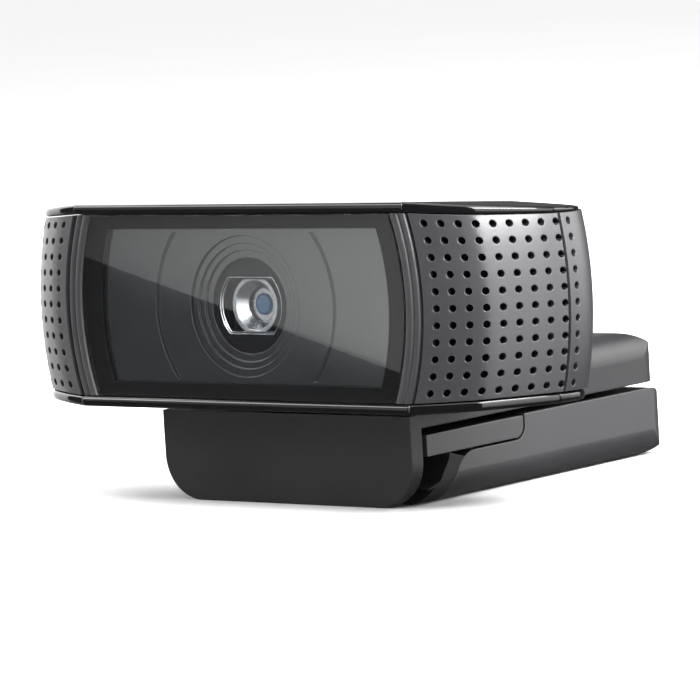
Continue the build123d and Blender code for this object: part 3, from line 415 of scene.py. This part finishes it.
def solder_mask(name, dark, light):
    """A circuit board: green lacquer over copper tracks some 0.4 mm wide."""
    made, tree, shader = new_material(name)
    place = add(tree, "ShaderNodeTexCoord").outputs["Object"]
    tracks = add(
        tree, "ShaderNodeTexBrick",
        {"Color1": linear(dark), "Color2": linear(light), "Mortar": linear("#2c6b3f"),
         "Scale": per_metre(4.0), "Mortar Size": 0.04}, {"Vector": place})
    bump = add(
        tree, "ShaderNodeBump", {"Strength": 0.4, "Distance": 0.00003}, {"Height": tracks.outputs["Fac"]})
    tree.links.new(tracks.outputs["Color"], shader.inputs["Base Color"])
    tree.links.new(bump.outputs["Normal"], shader.inputs["Normal"])
    shader.inputs["Roughness"].default_value = 0.32
    return made


board_lacquer = solder_mask("green_solder_mask", "#0c3a1e", "#125029")
print(len(bpy.data.materials), "materials in all")

# %% [markdown]
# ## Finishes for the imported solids
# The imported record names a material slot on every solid. Each slot gets the finish above that
# it really has, and the node's own shape is left as it is.

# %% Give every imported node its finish
FINISHES = {
    "gloss_black_abs": gloss_black,
    "satin_black_abs": satin_black,
    "matte_black_abs": matte_black,
    "clear_acrylic": clear_acrylic,
    "panel_print": panel_ink,
    "light_pipe": smoked_guide,
    "lens_glass": lens_coating,
    "silver_trim": bright_aluminium,
    "black_anodised": anodised_black,
    "steel": plated_steel,
    "copper_coil": enamelled_copper,
    "board_green": board_lacquer,
    "chip_black": chip_epoxy,
    "filter_glass": filter_glass,
    "led_white": lamp_white,
    "soft_rubber": rubber_black,
    "brass_insert": turned_brass,
}
for node in frame["nodes"].values():
    for holder in node.material_slots:
        holder.material = FINISHES[holder.material.name.split(".")[0]]
for node, finish in (("window_border", border_ink), ("lens_barrel", bright_aluminium)):
    for holder in frame["nodes"][node].material_slots:
        holder.material = finish
print("finishes on", len(frame["nodes"]), "nodes")

# %% [markdown]
# ## A helper that finishes a mesh
# Every new piece is shaped in millimetres in its own frame and handed over here. The mesh is
# placed in the model, its faces are turned outwards and it is tied to the body that it moves
# with. Smooth shading alone would let a small rounded edge bend the mirror image of the whole
# flat face beside it, so each corner's normal is the mean of the faces round it by area, and
# faces that turn by more than an angle are left out, which keeps the hard edges hard.

# %% Helpers for meshes


def soften(bm, width, segments=3, angle=30, where=None):
    """Rounds the edges that turn by more than the angle, and that the test where() picks."""
    sharp = [e for e in bm.edges if e.is_manifold and e.calc_face_angle() > math.radians(angle)]
    chosen = [e for e in sharp if where is None or where(e)]
    bmesh.ops.bevel(
        bm, geom=chosen, offset=width, offset_type="OFFSET", segments=segments, profile=0.5,
        affect="EDGES", material=-1, clamp_overlap=True)


def weigh_normals(mesh, angle):
    """Lets the large faces lead the shading, so a flat face stays a true mirror beside its rounded edge."""
    touching = [[] for _ in mesh.vertices]
    for face in mesh.polygons:
        for corner in face.vertices:
            touching[corner].append((face.normal.copy(), face.area))
    limit = math.cos(math.radians(angle))
    normals = []
    for face in mesh.polygons:
        for corner in face.vertices:
            near = [normal * area for normal, area in touching[corner] if normal.dot(face.normal) > limit]
            normals.append((sum(near, Vector()) * 1e6).normalized())
    mesh.normals_split_custom_set(normals)


def finish_piece(name, bm, place, material, body, stands_for=(), angle=40):
    """Makes a shown object of a finished mesh, in its place, riding on its body."""
    bm.transform(place)
    bmesh.ops.recalc_face_normals(bm, faces=bm.faces)
    loose = sum(1 for e in bm.edges if not e.is_manifold)
    mesh = bpy.data.meshes.new(name)
    bm.to_mesh(mesh)
    bm.free()
    mesh.materials.append(material)
    mesh.shade_smooth()
    weigh_normals(mesh, angle)
    made = bpy.data.objects.new(name, mesh)
    bpy.context.scene.collection.objects.link(made)
    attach(made, body)
    if stands_for:
        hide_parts(*stands_for)
    print(name, len(mesh.polygons), "faces,", loose, "open edges")
    return made


def mirrored(bm):
    """Turns a right-hand mesh into the left-hand one."""
    bmesh.ops.scale(bm, vec=(-1, 1, 1), verts=bm.verts)
    return bm


# %% [markdown]
# ## The bowed sides
# Seen from the front, the window, the frame round it and the head's ends all bow outwards
# together: each is an arc about one line that runs front to back, 7.4 mm left of the middle
# (and its mirror image on the other side). So a point at a given reach from that line moves
# inwards as it rises. That one rule shapes every upright edge of the head.

# %% The bow rule and the window
BOW = 7.4
WINDOW = (29.5, 12.9)
WINDOW_THICK = 1.02


def bowed(x, z):
    """Where a point that is x out at mid-height stands at height z."""
    return math.sqrt((abs(x) + BOW) ** 2 - z * z) - BOW


def bowed_slab(half_width, half_height, front, rear):
    """A plate with bowed sides, from a grid whose ends follow the bow, pulled to its thickness."""
    bm = bmesh.new()
    bmesh.ops.create_grid(bm, x_segments=2, y_segments=32, size=1)
    for vert in bm.verts:
        z = vert.co.y * half_height
        vert.co = (vert.co.x * bowed(half_width, z), rear, z)
    pulled = bmesh.ops.extrude_face_region(bm, geom=bm.faces[:])
    moved = [v for v in pulled["geom"] if isinstance(v, bmesh.types.BMVert)]
    bmesh.ops.translate(bm, vec=(0, front - rear, 0), verts=moved)
    bmesh.ops.recalc_face_normals(bm, faces=bm.faces)
    return bm


# The sheet reaches a hair into the printed border, so no air shows between them.
window = bowed_slab(*WINDOW, 0.0, WINDOW_THICK)
soften(window, 0.16, 3, 60)
finish_piece("window_sheet", window, HEAD, clear_acrylic, "head", ["front_window"])

# %% [markdown]
# ## The bright rim of the aperture
# The black plate in the middle of the recess has an opening that is round at its sides and flat
# at its top and bottom. Its edge is cut back at a slant and left bright, so it draws a thin line
# of light. Two circles are flattened to the opening's outline and bridged, then given a
# thickness.

# %% Bridge the slanted rim
OPENING = (5.38, 3.73)
SLANT = 0.32
PLATE_FACE = 3.1


def flattened_circle(bm, radius, flat, depth):
    """A circle facing forwards, cut flat at its top and bottom."""
    ring = bmesh.ops.create_circle(bm, segments=72, radius=radius)["verts"]
    for vert in ring:
        z = max(min(vert.co.y, flat), -flat)
        vert.co = (vert.co.x, depth, z)
    return ring


rim = bmesh.new()
flattened_circle(rim, OPENING[0], OPENING[1], PLATE_FACE + SLANT)
flattened_circle(rim, OPENING[0] + SLANT, OPENING[1] + SLANT, PLATE_FACE - 0.04)
bmesh.ops.bridge_loops(rim, edges=rim.edges[:])
bmesh.ops.solidify(rim, geom=rim.faces[:], thickness=0.12)
finish_piece("aperture_bright_rim", rim, HEAD, bright_aluminium, "head")

# %% [markdown]
# ## The ribbed frame
# At each side of the window the frame is a moulded upright with two rounded ribs and a groove
# between them. Its section is the same all the way up and it follows the bow, so the section
# is spun about the bow line, and the two ends are cut level. A spin follows the arc exactly,
# where moving copies by hand would only come near it.

# %% Spin the two uprights
FRAME_HALF = 12.93
RIB_SECTION = [
    (29.56, 3.3), (29.56, 0.3), (29.7, 0.02), (29.95, -0.16), (30.3, -0.22), (30.62, -0.14),
    (30.8, 0.04), (30.92, 0.2), (31.06, 0.04), (31.3, -0.06), (31.6, -0.1), (31.86, 0.0),
    (32.06, 0.24), (32.2, 0.7), (32.2, 3.3),
]


def rib_upright():
    """One upright of the frame: the rib section spun about the bow line and cut level."""
    bm = bmesh.new()
    ring = [bm.verts.new((x, y, 0)) for x, y in RIB_SECTION]
    section = bmesh.ops.contextual_create(bm, geom=ring)["faces"]
    sweep = math.radians(50)
    axis = (0, 1, 0)
    hub = (-BOW, 0, 0)
    bmesh.ops.rotate(bm, cent=hub, matrix=Matrix.Rotation(-sweep / 2, 3, "Y"), verts=bm.verts)
    bmesh.ops.spin(bm, geom=section, cent=hub, axis=axis, angle=sweep, steps=40, use_duplicate=False)
    for height, keep in ((FRAME_HALF, 1), (-FRAME_HALF, -1)):
        cut = bmesh.ops.bisect_plane(
            bm, geom=bm.verts[:] + bm.edges[:] + bm.faces[:], plane_co=(0, 0, height),
            plane_no=(0, 0, keep), clear_outer=True)
        rim = [e for e in cut["geom_cut"] if isinstance(e, bmesh.types.BMEdge)]
        bmesh.ops.contextual_create(bm, geom=rim)
    return bm


ribs = rib_upright()
left_ribs = mirrored(rib_upright())
keeper = bpy.data.meshes.new("keeper")
left_ribs.to_mesh(keeper)
left_ribs.free()
ribs.from_mesh(keeper)
bpy.data.meshes.remove(keeper)
finish_piece("ribbed_frame", ribs, HEAD, satin_black, "head", ["front_frame"], 50)

# %% [markdown]
# ## The perforated ends
# Each end of the head is one curved moulding with ninety-nine holes. Cutting round holes into
# a curved mesh leaves torn faces, so the grille is made flat first: one square cell with a
# round hole, copied into rows, pulled to its wall thickness and softened round every rim. Then
# the flat strip is bent onto the plan outline of the head, and bowed. Flat modelling and one
# bend at the end keeps every hole round and every rim even.

# %% The plan outline that the ends follow
END_KNOTS = [(32.7, 0.0), (36.6, 1.2), (40.7, 3.4), (43.1, 6.6), (45.2, 10.3), (46.7, 13.9)]
SEAM = 30.0
WING_SLOPE = math.tan(math.radians(3.2))
ROWS_FOLLOW = 0.8
GRILLE_HALF = 12.92


def smooth_line(knots, steps=16):
    """Points along a smooth line through the knots."""
    points = [Vector((*k, 0)) for k in knots]
    last = len(points) - 1
    pulls = [
        (points[min(i + 1, last)] - points[max(i - 1, 0)]) / (2 if 0 < i < last else 1)
        for i in range(len(points))
    ]
    line = []
    for i in range(last):
        run = interpolate_bezier(
            points[i], points[i] + pulls[i] / 3, points[i + 1] - pulls[i + 1] / 3, points[i + 1], steps)
        line += run[:-1] if i < last - 1 else run
    return line


end_line = smooth_line(END_KNOTS)
end_reach = [0.0]
for before, after in zip(end_line, end_line[1:]):
    end_reach.append(end_reach[-1] + (after - before).length)
END_LENGTH = end_reach[-1]


def on_end(along, height, depth):
    """The point of the right-hand end at a distance along its plan, at a height and a depth in."""
    spot = min(max(along, 0.0), END_LENGTH)
    i = max(j for j in range(len(end_reach) - 1) if end_reach[j] <= spot + 1e-9)
    part = (spot - end_reach[i]) / (end_reach[i + 1] - end_reach[i])
    heading = (end_line[i + 1] - end_line[i]).normalized()
    flat = end_line[i].lerp(end_line[i + 1], part) + heading * (along - spot)
    flat -= Vector((heading.y, -heading.x, 0)) * depth
    drop = WING_SLOPE * max(bowed(flat.x, GRILLE_HALF) - SEAM, 0)
    share = 1.0 if abs(height) > 12.5 else ROWS_FOLLOW
    z = height * (1 - share * drop / GRILLE_HALF)
    return Vector((bowed(flat.x, z), flat.y, z))


print("the end's plan is", round(END_LENGTH, 2), "mm long")

# %% Make one grille flat, then bend it
PITCH = 2.32
HOLE = 0.53
COLUMNS, ROWS = 9, 11
FIRST = 1.9
WALL = 1.3


def grille():
    """A perforated wall: cells copied in rows, given a thickness, softened and bent."""
    bm = bmesh.new()
    bmesh.ops.create_circle(bm, segments=16, radius=HOLE)
    square = bmesh.ops.create_circle(bm, segments=16, radius=PITCH / 2)["verts"]
    for vert in square:
        vert.co *= PITCH / 2 / max(abs(vert.co.x), abs(vert.co.y))
    bmesh.ops.bridge_loops(bm, edges=bm.edges[:])
    cell = bm.verts[:] + bm.edges[:] + bm.faces[:]
    for column in range(COLUMNS):
        for row in range(ROWS):
            if (column, row) != (0, 0):
                copy = bmesh.ops.duplicate(bm, geom=cell)["geom"]
                bmesh.ops.translate(
                    bm, vec=(column * PITCH, row * PITCH, 0),
                    verts=[v for v in copy if isinstance(v, bmesh.types.BMVert)])
    bmesh.ops.translate(bm, vec=(FIRST, -(ROWS - 1) / 2 * PITCH, 0), verts=bm.verts)
    bmesh.ops.remove_doubles(bm, verts=bm.verts, dist=0.001)
    edge = FIRST - PITCH / 2
    for vert in bm.verts:
        if vert.co.x < edge + 0.001:
            vert.co.x = 0.02
        if vert.co.x > END_LENGTH - 0.02:
            vert.co.x = END_LENGTH - 0.02
        if abs(vert.co.y) > (ROWS - 1) / 2 * PITCH + PITCH / 2 - 0.001:
            vert.co.y = math.copysign(GRILLE_HALF, vert.co.y)
    pulled = bmesh.ops.extrude_face_region(bm, geom=bm.faces[:])
    inner = [v for v in pulled["geom"] if isinstance(v, bmesh.types.BMVert)]
    bmesh.ops.translate(bm, vec=(0, 0, WALL), verts=inner)
    bmesh.ops.recalc_face_normals(bm, faces=bm.faces)
    soften(bm, 0.11, 2, 60, lambda e: max(v.co.z for v in e.verts) < 0.001)
    for vert in bm.verts:
        vert.co = on_end(*vert.co)
    return bm


finish_piece(
    "perforated_end_right", grille(), HEAD, satin_black, "head", ["grille_right"])
finish_piece(
    "perforated_end_left", mirrored(grille()), HEAD, satin_black, "head", ["grille_left"])

# %% [markdown]
# Behind the perforations lies a strip of black cloth that keeps dust off the microphones and
# stops the eye from looking into the head. It is bent the same way, a little deeper in.

# %% Acoustic cloth behind the perforations


def cloth_strip():
    """A thin strip behind one grille, bent with it."""
    bm = bmesh.new()
    bmesh.ops.create_grid(bm, x_segments=28, y_segments=14, size=1)
    for vert in bm.verts:
        vert.co = ((vert.co.x + 1) / 2 * (END_LENGTH - 0.8) + 0.4, vert.co.y * 12.4, WALL + 0.06)
    pulled = bmesh.ops.extrude_face_region(bm, geom=bm.faces[:])
    inner = [v for v in pulled["geom"] if isinstance(v, bmesh.types.BMVert)]
    bmesh.ops.translate(bm, vec=(0, 0, 0.12), verts=inner)
    for vert in bm.verts:
        vert.co = on_end(*vert.co)
    return bm


finish_piece("acoustic_cloth_right", cloth_strip(), HEAD, acoustic_cloth, "head")
finish_piece("acoustic_cloth_left", mirrored(cloth_strip()), HEAD, acoustic_cloth, "head")

# %% [markdown]
# ## The gloss bands
# A band of polished black runs over and under the head: a straight middle part, and at each
# end a wing that follows the grille's plan and closes in by 3.2 degrees. What shows of them is
# their front lip, rounded so that it draws one long highlight. Each is a flat outline filled,
# pulled up to its thickness and then rounded along the lips. The top ones get thinner towards
# the back, as the head's top falls away.

# %% Middle bands
HALF_HEIGHT = 14.5
BAND = 1.5
PROUD = 0.5
REAR = 24.45
THIN_REAR = 0.3
LIP_ROUND = 0.62


def upright_prism(outline, low, high):
    """A level outline pulled up between two heights."""
    bm = bmesh.new()
    corners = [bm.verts.new((x, y, low)) for x, y in outline]
    bmesh.ops.contextual_create(bm, geom=corners)
    pulled = bmesh.ops.extrude_face_region(bm, geom=bm.faces[:])
    bmesh.ops.translate(
        bm, vec=(0, 0, high - low), verts=[v for v in pulled["geom"] if isinstance(v, bmesh.types.BMVert)])
    bmesh.ops.recalc_face_normals(bm, faces=bm.faces)
    return bm


def far_back(vert):
    """How far back a point of a band is, from 0 at its front to 1 at its rear."""
    return min(max((vert.co.y + PROUD) / (REAR + PROUD), 0), 1)


def level_edge(edge):
    """Whether an edge runs level."""
    return abs(edge.verts[0].co.z - edge.verts[1].co.z) < 0.1


def front_lip(edge):
    """Whether an edge of a middle band is one of its two front lips."""
    return max(v.co.y for v in edge.verts) < 0 and level_edge(edge)


INNER = SEAM - 0.04
for name, low in (("top_band", HALF_HEIGHT - BAND), ("bottom_band", -HALF_HEIGHT)):
    band = upright_prism([(-INNER, -PROUD), (INNER, -PROUD), (INNER, REAR), (-INNER, REAR)], low, low + BAND)
    for vert in band.verts:
        if low > 0 and vert.co.z > low + BAND / 2:
            vert.co.z -= far_back(vert) * (BAND - THIN_REAR)
    soften(band, LIP_ROUND, 5, 60, front_lip)
    soften(band, 0.25, 3, 60)
    finish_piece(name + "_gloss", band, HEAD, gloss_black, "head", [name])

# %% Wings of the bands
REAR_KNOTS = [(46.9, 14.9), (46.8, 16.5), (46.0, 20.2), (43.9, 22.9), (41.2, 24.0), (37.5, 24.45)]
LIP_OUT = 0.3
WING_LIP_ROUND = 0.6


def wing_outline():
    """The plan of a wing: the grille's line pushed out a little, then the rear corner."""
    line = [Vector((p.x, p.y, 0)) for p in smooth_line(END_KNOTS, 8)]
    front = []
    for i, point in enumerate(line):
        heading = (line[min(i + 1, len(line) - 1)] - line[max(i - 1, 0)]).normalized()
        front.append(point + Vector((heading.y, -heading.x, 0)) * LIP_OUT)
    plan = [(bowed(p.x, 13.9), p.y) for p in front + smooth_line(REAR_KNOTS, 8)]
    inner = SEAM + 0.05
    return [(inner, plan[0][1] - 0.04)] + [p for p in plan if p[0] > inner + 0.3] + [(inner, REAR)]


def wing(low, side):
    """One wing: its outline pulled up, rounded along its lips, thinned and tipped by the wings' slope."""
    bm = upright_prism(wing_outline(), low, low + BAND)
    lips = [
        e for e in bm.edges
        if e.is_manifold and e.calc_face_angle() > math.radians(60)
        and level_edge(e) and max(v.co.x for v in e.verts) > SEAM + 0.1
    ]
    bmesh.ops.bevel(
        bm, geom=lips, offset=WING_LIP_ROUND, offset_type="OFFSET", segments=5, profile=0.5, affect="EDGES",
        material=-1, clamp_overlap=False)
    for vert in bm.verts:
        if low > 0:
            vert.co.z = low + (vert.co.z - low) * (1 - far_back(vert) * (1 - THIN_REAR / BAND))
        vert.co.z -= math.copysign(WING_SLOPE * (vert.co.x - SEAM), low)
    return bm if side == "right" else mirrored(bm)


for name, low in (("top_band_wing", HALF_HEIGHT - BAND), ("bottom_band_wing", -HALF_HEIGHT)):
    for side in ("right", "left"):
        finish_piece(
            f"{name}_gloss_{side}", wing(low, side), HEAD, gloss_black, "head",
            [f"{name}_{side}"])

# %% [markdown]
# ## Rubber parts
# Rubber has no crisp edges: it is pressed in a two-part mould and every corner is rounded. The
# toe curls up in front of the leg, two thin pads line the clip's jaw, a gland seals the back
# and two small boots hold the microphones. Flat pads start as a plate whose corners are
# rounded; round ones are a section spun about its own line.

# %% Pads in the clip's jaw


def rounded_pad(width, length, thick, corner):
    """A pad lying level about the origin, with rounded corners and edges."""
    bm = bmesh.new()
    bmesh.ops.create_grid(bm, x_segments=1, y_segments=1, size=0.5)
    bmesh.ops.scale(bm, vec=(width, length, 1), verts=bm.verts)
    bmesh.ops.bevel(
        bm, geom=bm.verts[:], offset=corner, offset_type="OFFSET", segments=6, profile=0.5,
        affect="VERTICES", material=-1, clamp_overlap=True)
    pulled = bmesh.ops.extrude_face_region(bm, geom=bm.faces[:])
    bmesh.ops.translate(
        bm, vec=(0, 0, thick), verts=[v for v in pulled["geom"] if isinstance(v, bmesh.types.BMVert)])
    bmesh.ops.recalc_face_normals(bm, faces=bm.faces)
    soften(bm, 0.15, 3, 60)
    return bm


shelf_pad = rounded_pad(38.0, 9.0, 0.76, 1.5)
bmesh.ops.translate(shelf_pad, vec=(0, 16.4, 10.81), verts=shelf_pad.verts)
finish_piece("shelf_pad_rubber", shelf_pad, CLIP, rubber_black, "clip", ["shelf_pad"])

lip_pad = rounded_pad(36.0, 7.4, 0.71, 1.5)
upright = Matrix.Rotation(math.radians(90), 3, "X")
bmesh.ops.rotate(lip_pad, cent=(0, 0, 0), matrix=upright, verts=lip_pad.verts)
bmesh.ops.translate(lip_pad, vec=(0, 11.14, 5.8), verts=lip_pad.verts)
finish_piece("lip_pad_rubber", lip_pad, CLIP, rubber_black, "clip", ["lip_pad"])

# %% Gland and microphone boots


def spun(section, centre):
    """A closed section of (radius, depth) points spun about a line that runs front to back."""
    bm = bmesh.new()
    ring = [bm.verts.new((radius, depth, 0)) for radius, depth in section]
    rim = [bm.edges.new((a, b)) for a, b in zip(ring, ring[1:] + ring[:1])]
    bmesh.ops.spin(bm, geom=rim, cent=(0, 0, 0), axis=(0, 1, 0), angle=math.tau, steps=48, use_merge=True)
    bmesh.ops.recalc_face_normals(bm, faces=bm.faces)
    soften(bm, 0.25, 3, 50)
    bmesh.ops.translate(bm, vec=(centre[0], 0, centre[1]), verts=bm.verts)
    return bm


GLAND_SECTION = [
    (2.2, 23.1), (2.85, 23.1), (2.85, 24.56), (4.2, 24.56), (4.2, 25.3), (3.4, 26.08), (2.2, 26.08),
]
BOOT_SECTION = [(0.001, 8.65), (2.05, 8.65), (2.1, 6.45), (3.05, 6.45), (3.05, 9.35), (0.001, 9.35)]
gland = spun(GLAND_SECTION, (-14.0, 1.0))
finish_piece("cable_gland_rubber", gland, HEAD, rubber_black, "head", ["cable_gland"])
for side, x in (("right", 37.6), ("left", -37.6)):
    boot = spun(BOOT_SECTION, (x, 0.0))
    bmesh.ops.remove_doubles(boot, verts=boot.verts, dist=0.01)
    finish_piece(
        f"microphone_boot_rubber_{side}", boot, HEAD, rubber_black, "head",
        [f"microphone_boot_{side}"])

# %% [markdown]
# The toe has the same rounded lower edges as the leg behind it. Its side outline is pulled
# across the full width, cut into level slices, and each slice is narrowed to the width that
# the round leaves at its height.

# %% The rubber toe
HALF_ACROSS = 22.68
ROUND = 4.0
TOE_OUTER = [(16.25, 0.0), (17.0, 1.5), (18.0, 3.5), (19.2, 5.0), (20.6, 6.05), (22.08, 6.5)]
TOE_INNER = [(16.85, 6.83), (16.5, 5.8), (15.3, 4.3), (14.3, 2.85), (13.3, 2.2), (12.04, 2.2)]


def half_width_at(height):
    """Half the clip's width at a height, inside its rounded lower edges."""
    rise = min(max(height, 0.0), ROUND)
    return HALF_ACROSS - ROUND + math.sqrt(ROUND * ROUND - (ROUND - rise) ** 2)


def across_prism(outline, half):
    """A side outline of (back, up) points pulled across the width."""
    bm = bmesh.new()
    corners = [bm.verts.new((-half, y, z)) for y, z in outline]
    bmesh.ops.contextual_create(bm, geom=corners)
    pulled = bmesh.ops.extrude_face_region(bm, geom=bm.faces[:])
    bmesh.ops.translate(
        bm, vec=(2 * half, 0, 0), verts=[v for v in pulled["geom"] if isinstance(v, bmesh.types.BMVert)])
    bmesh.ops.recalc_face_normals(bm, faces=bm.faces)
    return bm


toe_side = [(p.x, p.y) for p in smooth_line(TOE_OUTER, 6)]
toe_side += [(22.08, 6.83)] + [(p.x, p.y) for p in smooth_line(TOE_INNER, 6)] + [(12.04, 0.02)]
toe = across_prism(toe_side, HALF_ACROSS)
for height in (0.1, 0.3, 0.6, 1.0, 1.5, 2.1, 2.7, 3.3, 4.0):
    bmesh.ops.bisect_plane(
        toe, geom=toe.verts[:] + toe.edges[:] + toe.faces[:], plane_co=(0, 0, height), plane_no=(0, 0, 1))
for vert in toe.verts:
    vert.co.x = math.copysign(half_width_at(vert.co.z), vert.co.x)
finish_piece("toe_rubber", toe, CLIP, rubber_black, "leg", ["rubber_toe"], 50)

# %% [markdown]
# ## Floor and light
# The webcam stands on a plain pale table under soft light. A wide, soft sun overhead whitens
# the table evenly and gives the faint contact shadow. Panels to the right, behind and to the
# left light the ends and the clip. Black plastic shows what it mirrors more than its own colour,
# so the table is left out of reflections, and glowing cards that only reflections see shade each
# side from bright above to dark below. One more card in front draws the window's lighter upper
# part with its slanting edge.

# %% Floor and world
TABLE_RADIUS = 14
BELOW_FEET = 0.00002
SKY_STRENGTH = 0.12


def stage_piece(name, bm, material):
    """A mesh that belongs to the studio and not to the webcam."""
    data = bpy.data.meshes.new(name)
    bm.to_mesh(data)
    bm.free()
    data.materials.append(material)
    made = bpy.data.objects.new(name, data)
    bpy.context.scene.collection.objects.link(made)
    made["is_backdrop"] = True
    return made


# Matt white table paint, with the faintest cloudiness some 170 mm across.
table_paint, paint_tree, paint = new_material("matt_white_table_paint")
paint_place = add(paint_tree, "ShaderNodeTexCoord").outputs["Object"]
cloudiness = noise(paint_tree, paint_place, 1000 / 6, 2.0)
paint_tree.links.new(blend(paint_tree, "#f7f7f7", "#fafafa", cloudiness), paint.inputs["Base Color"])
paint.inputs["Roughness"].default_value = 0.9
paint.inputs["Specular IOR Level"].default_value = 0.0
table = bmesh.new()
bmesh.ops.create_circle(table, segments=96, radius=TABLE_RADIUS, cap_ends=True)
bmesh.ops.translate(table, vec=(0, 0, -BELOW_FEET), verts=table.verts)
table_top = stage_piece("table_top", table, table_paint)
table_top.visible_glossy = False
table_top.visible_transmission = False

world = bpy.data.worlds.new("studio")
world.use_nodes = True
world.node_tree.nodes["Background"].inputs["Color"].default_value = linear("#f4f5f7")
world.node_tree.nodes["Background"].inputs["Strength"].default_value = SKY_STRENGTH
bpy.context.scene.world = world
bpy.context.scene.view_settings.view_transform = "Standard"

# %% Sun and panels


def lamp(name, kind, at, towards, power):
    """A light of a kind at a place, facing a point."""
    data = bpy.data.lights.new(name, kind)
    data.energy = power
    made = bpy.data.objects.new(name, data)
    made.location = at
    made.rotation_euler = (Vector(towards) - Vector(at)).to_track_quat("-Z", "Y").to_euler()
    bpy.context.scene.collection.objects.link(made)
    return data


def around(azimuth, elevation, distance):
    """A place round the webcam; azimuth 0 is in front of it and 90 on its right."""
    a, e = math.radians(azimuth), math.radians(elevation)
    return Vector((math.sin(a) * math.cos(e), -math.cos(a) * math.cos(e), math.sin(e))) * distance


MIDDLE = (0, -0.005, 0.025)
PANELS = [
    ("right_panel", 75, 46, 0.9, (0.8, 0.3), 14.0),
    ("rear_right_panel", 142, 30, 0.9, (0.6, 0.4), 5.0),
    ("rear_left_panel", -110, 40, 0.9, (0.7, 0.4), 6.0),
    ("front_left_fill", -50, 30, 0.9, (0.4, 0.4), 4.0),
]
sun = lamp("soft_sun", "SUN", (0.1, 0, 1.5), MIDDLE, 2.7)
sun.angle = math.radians(70)
for name, azimuth, elevation, distance, size, power in PANELS:
    data = lamp(name, "AREA", around(azimuth, elevation, distance), MIDDLE, power)
    data.shape = "RECTANGLE"
    data.size, data.size_y = size
# A slim strip close above the right end: so near that its light falls away down the perforations.
# It stands behind the window's plane, so none of its light reaches the window.
strip = lamp("end_strip", "AREA", (0.062, -0.0335, 0.051), (0.044, -0.028, 0.036), 0.02)
strip.shape = "RECTANGLE"
strip.size, strip.size_y = 0.03, 0.006
bpy.data.objects["end_strip"].visible_camera = False
bpy.data.objects["end_strip"].visible_transmission = False
print("lit by a sun,", len(PANELS), "panels and a strip")

# %% [markdown]
# Where the window mirrors something is worked out, not tried: a ray from the camera to a point
# of the window is turned back about the window's face, and where it goes is where the card's
# edge has to be. Two such points fix the slanting line.

# %% Cards that are seen only in reflections
FACE = (HEAD.to_3x3() @ Vector((0, -1, 0))).normalized()
CARD_AWAY = 0.5


def mirrored_point(x, z):
    """Where the camera looks, by way of the window's face, at the card's distance."""
    at = HEAD @ Vector((x, 0, z))
    ray = (at - camera.matrix_world.translation).normalized()
    return at + (ray - 2 * ray.dot(FACE) * FACE) * CARD_AWAY


def glowing_card(name, corners, start, way, glow):
    """A flat card that only reflections see; its glow runs between two values along a way from a start."""
    bm = bmesh.new()
    bmesh.ops.contextual_create(bm, geom=[bm.verts.new(c) for c in corners])
    finish, tree, shader = new_material(name + "_face")
    place = add(tree, "ShaderNodeTexCoord").outputs["Object"]
    along = add(
        tree, "ShaderNodeVectorMath", {1: way / way.length_squared}, {0: place}, operation="DOT_PRODUCT")
    first = start.dot(way) / way.length_squared
    fade = add(
        tree, "ShaderNodeMapRange",
        {"From Min": first, "From Max": first + 1, "To Min": glow[0], "To Max": glow[1]},
        {"Value": along.outputs["Value"]})
    tree.links.new(fade.outputs["Result"], shader.inputs["Emission Strength"])
    shader.inputs["Emission Color"].default_value = (1, 1, 1, 1)
    shader.inputs["Base Color"].default_value = (0, 0, 0, 1)
    made = stage_piece(name, bm, finish)
    made.visible_camera = False
    made.visible_diffuse = False
    made.visible_shadow = False
    return made


slant_left, slant_right = mirrored_point(-29.0, 7.0), mirrored_point(29.0, -8.8)
slant = slant_right - slant_left
rise = Vector((0, 0, 0.2))
card_left, card_right = slant_left - slant, slant_right + slant
glowing_card(
    "window_card", [card_left, card_right, card_right + rise * 2, card_left + rise], slant_left, slant,
    (0.55, 1.2))
print("slant from", [round(v, 3) for v in slant_left], "to", [round(v, 3) for v in slant_right])

SIDE_CARDS = [
    ("right_card", 78, 0.6, 0.62, (-0.35, 0.5), (0.2, 7.0)),
    ("rear_right_card", 141, 0.6, 0.5, (-0.15, 0.4), (0.0, 8.0)),
    ("left_card", -108, 0.6, 0.7, (-0.35, 0.45), (0.3, 5.0)),
]
for name, azimuth, distance, width, (foot, top), glow in SIDE_CARDS:
    middle = around(azimuth, 0, distance)
    sideways = Vector((-middle.y, middle.x, 0)).normalized() * width / 2
    low_edge, high_edge = Vector((0, 0, foot)), Vector((0, 0, top))
    glowing_card(
        name, [middle - sideways + low_edge, middle + sideways + low_edge, middle + sideways + high_edge,
               middle - sideways + high_edge], middle + low_edge, high_edge - low_edge, glow)
print(len(SIDE_CARDS) + 1, "cards")

# %% [markdown]
# ## Finish
# The visual model is meant to stay the size of the imported one, so how far its box has grown past the
# imported box is printed.

# %% Compare the two boxes and finish
low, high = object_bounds()
grown = [round(v * 1000, 3) for v in (*(cad_low - low), *(high - cad_high))]
print("grown by", grown, "mm")
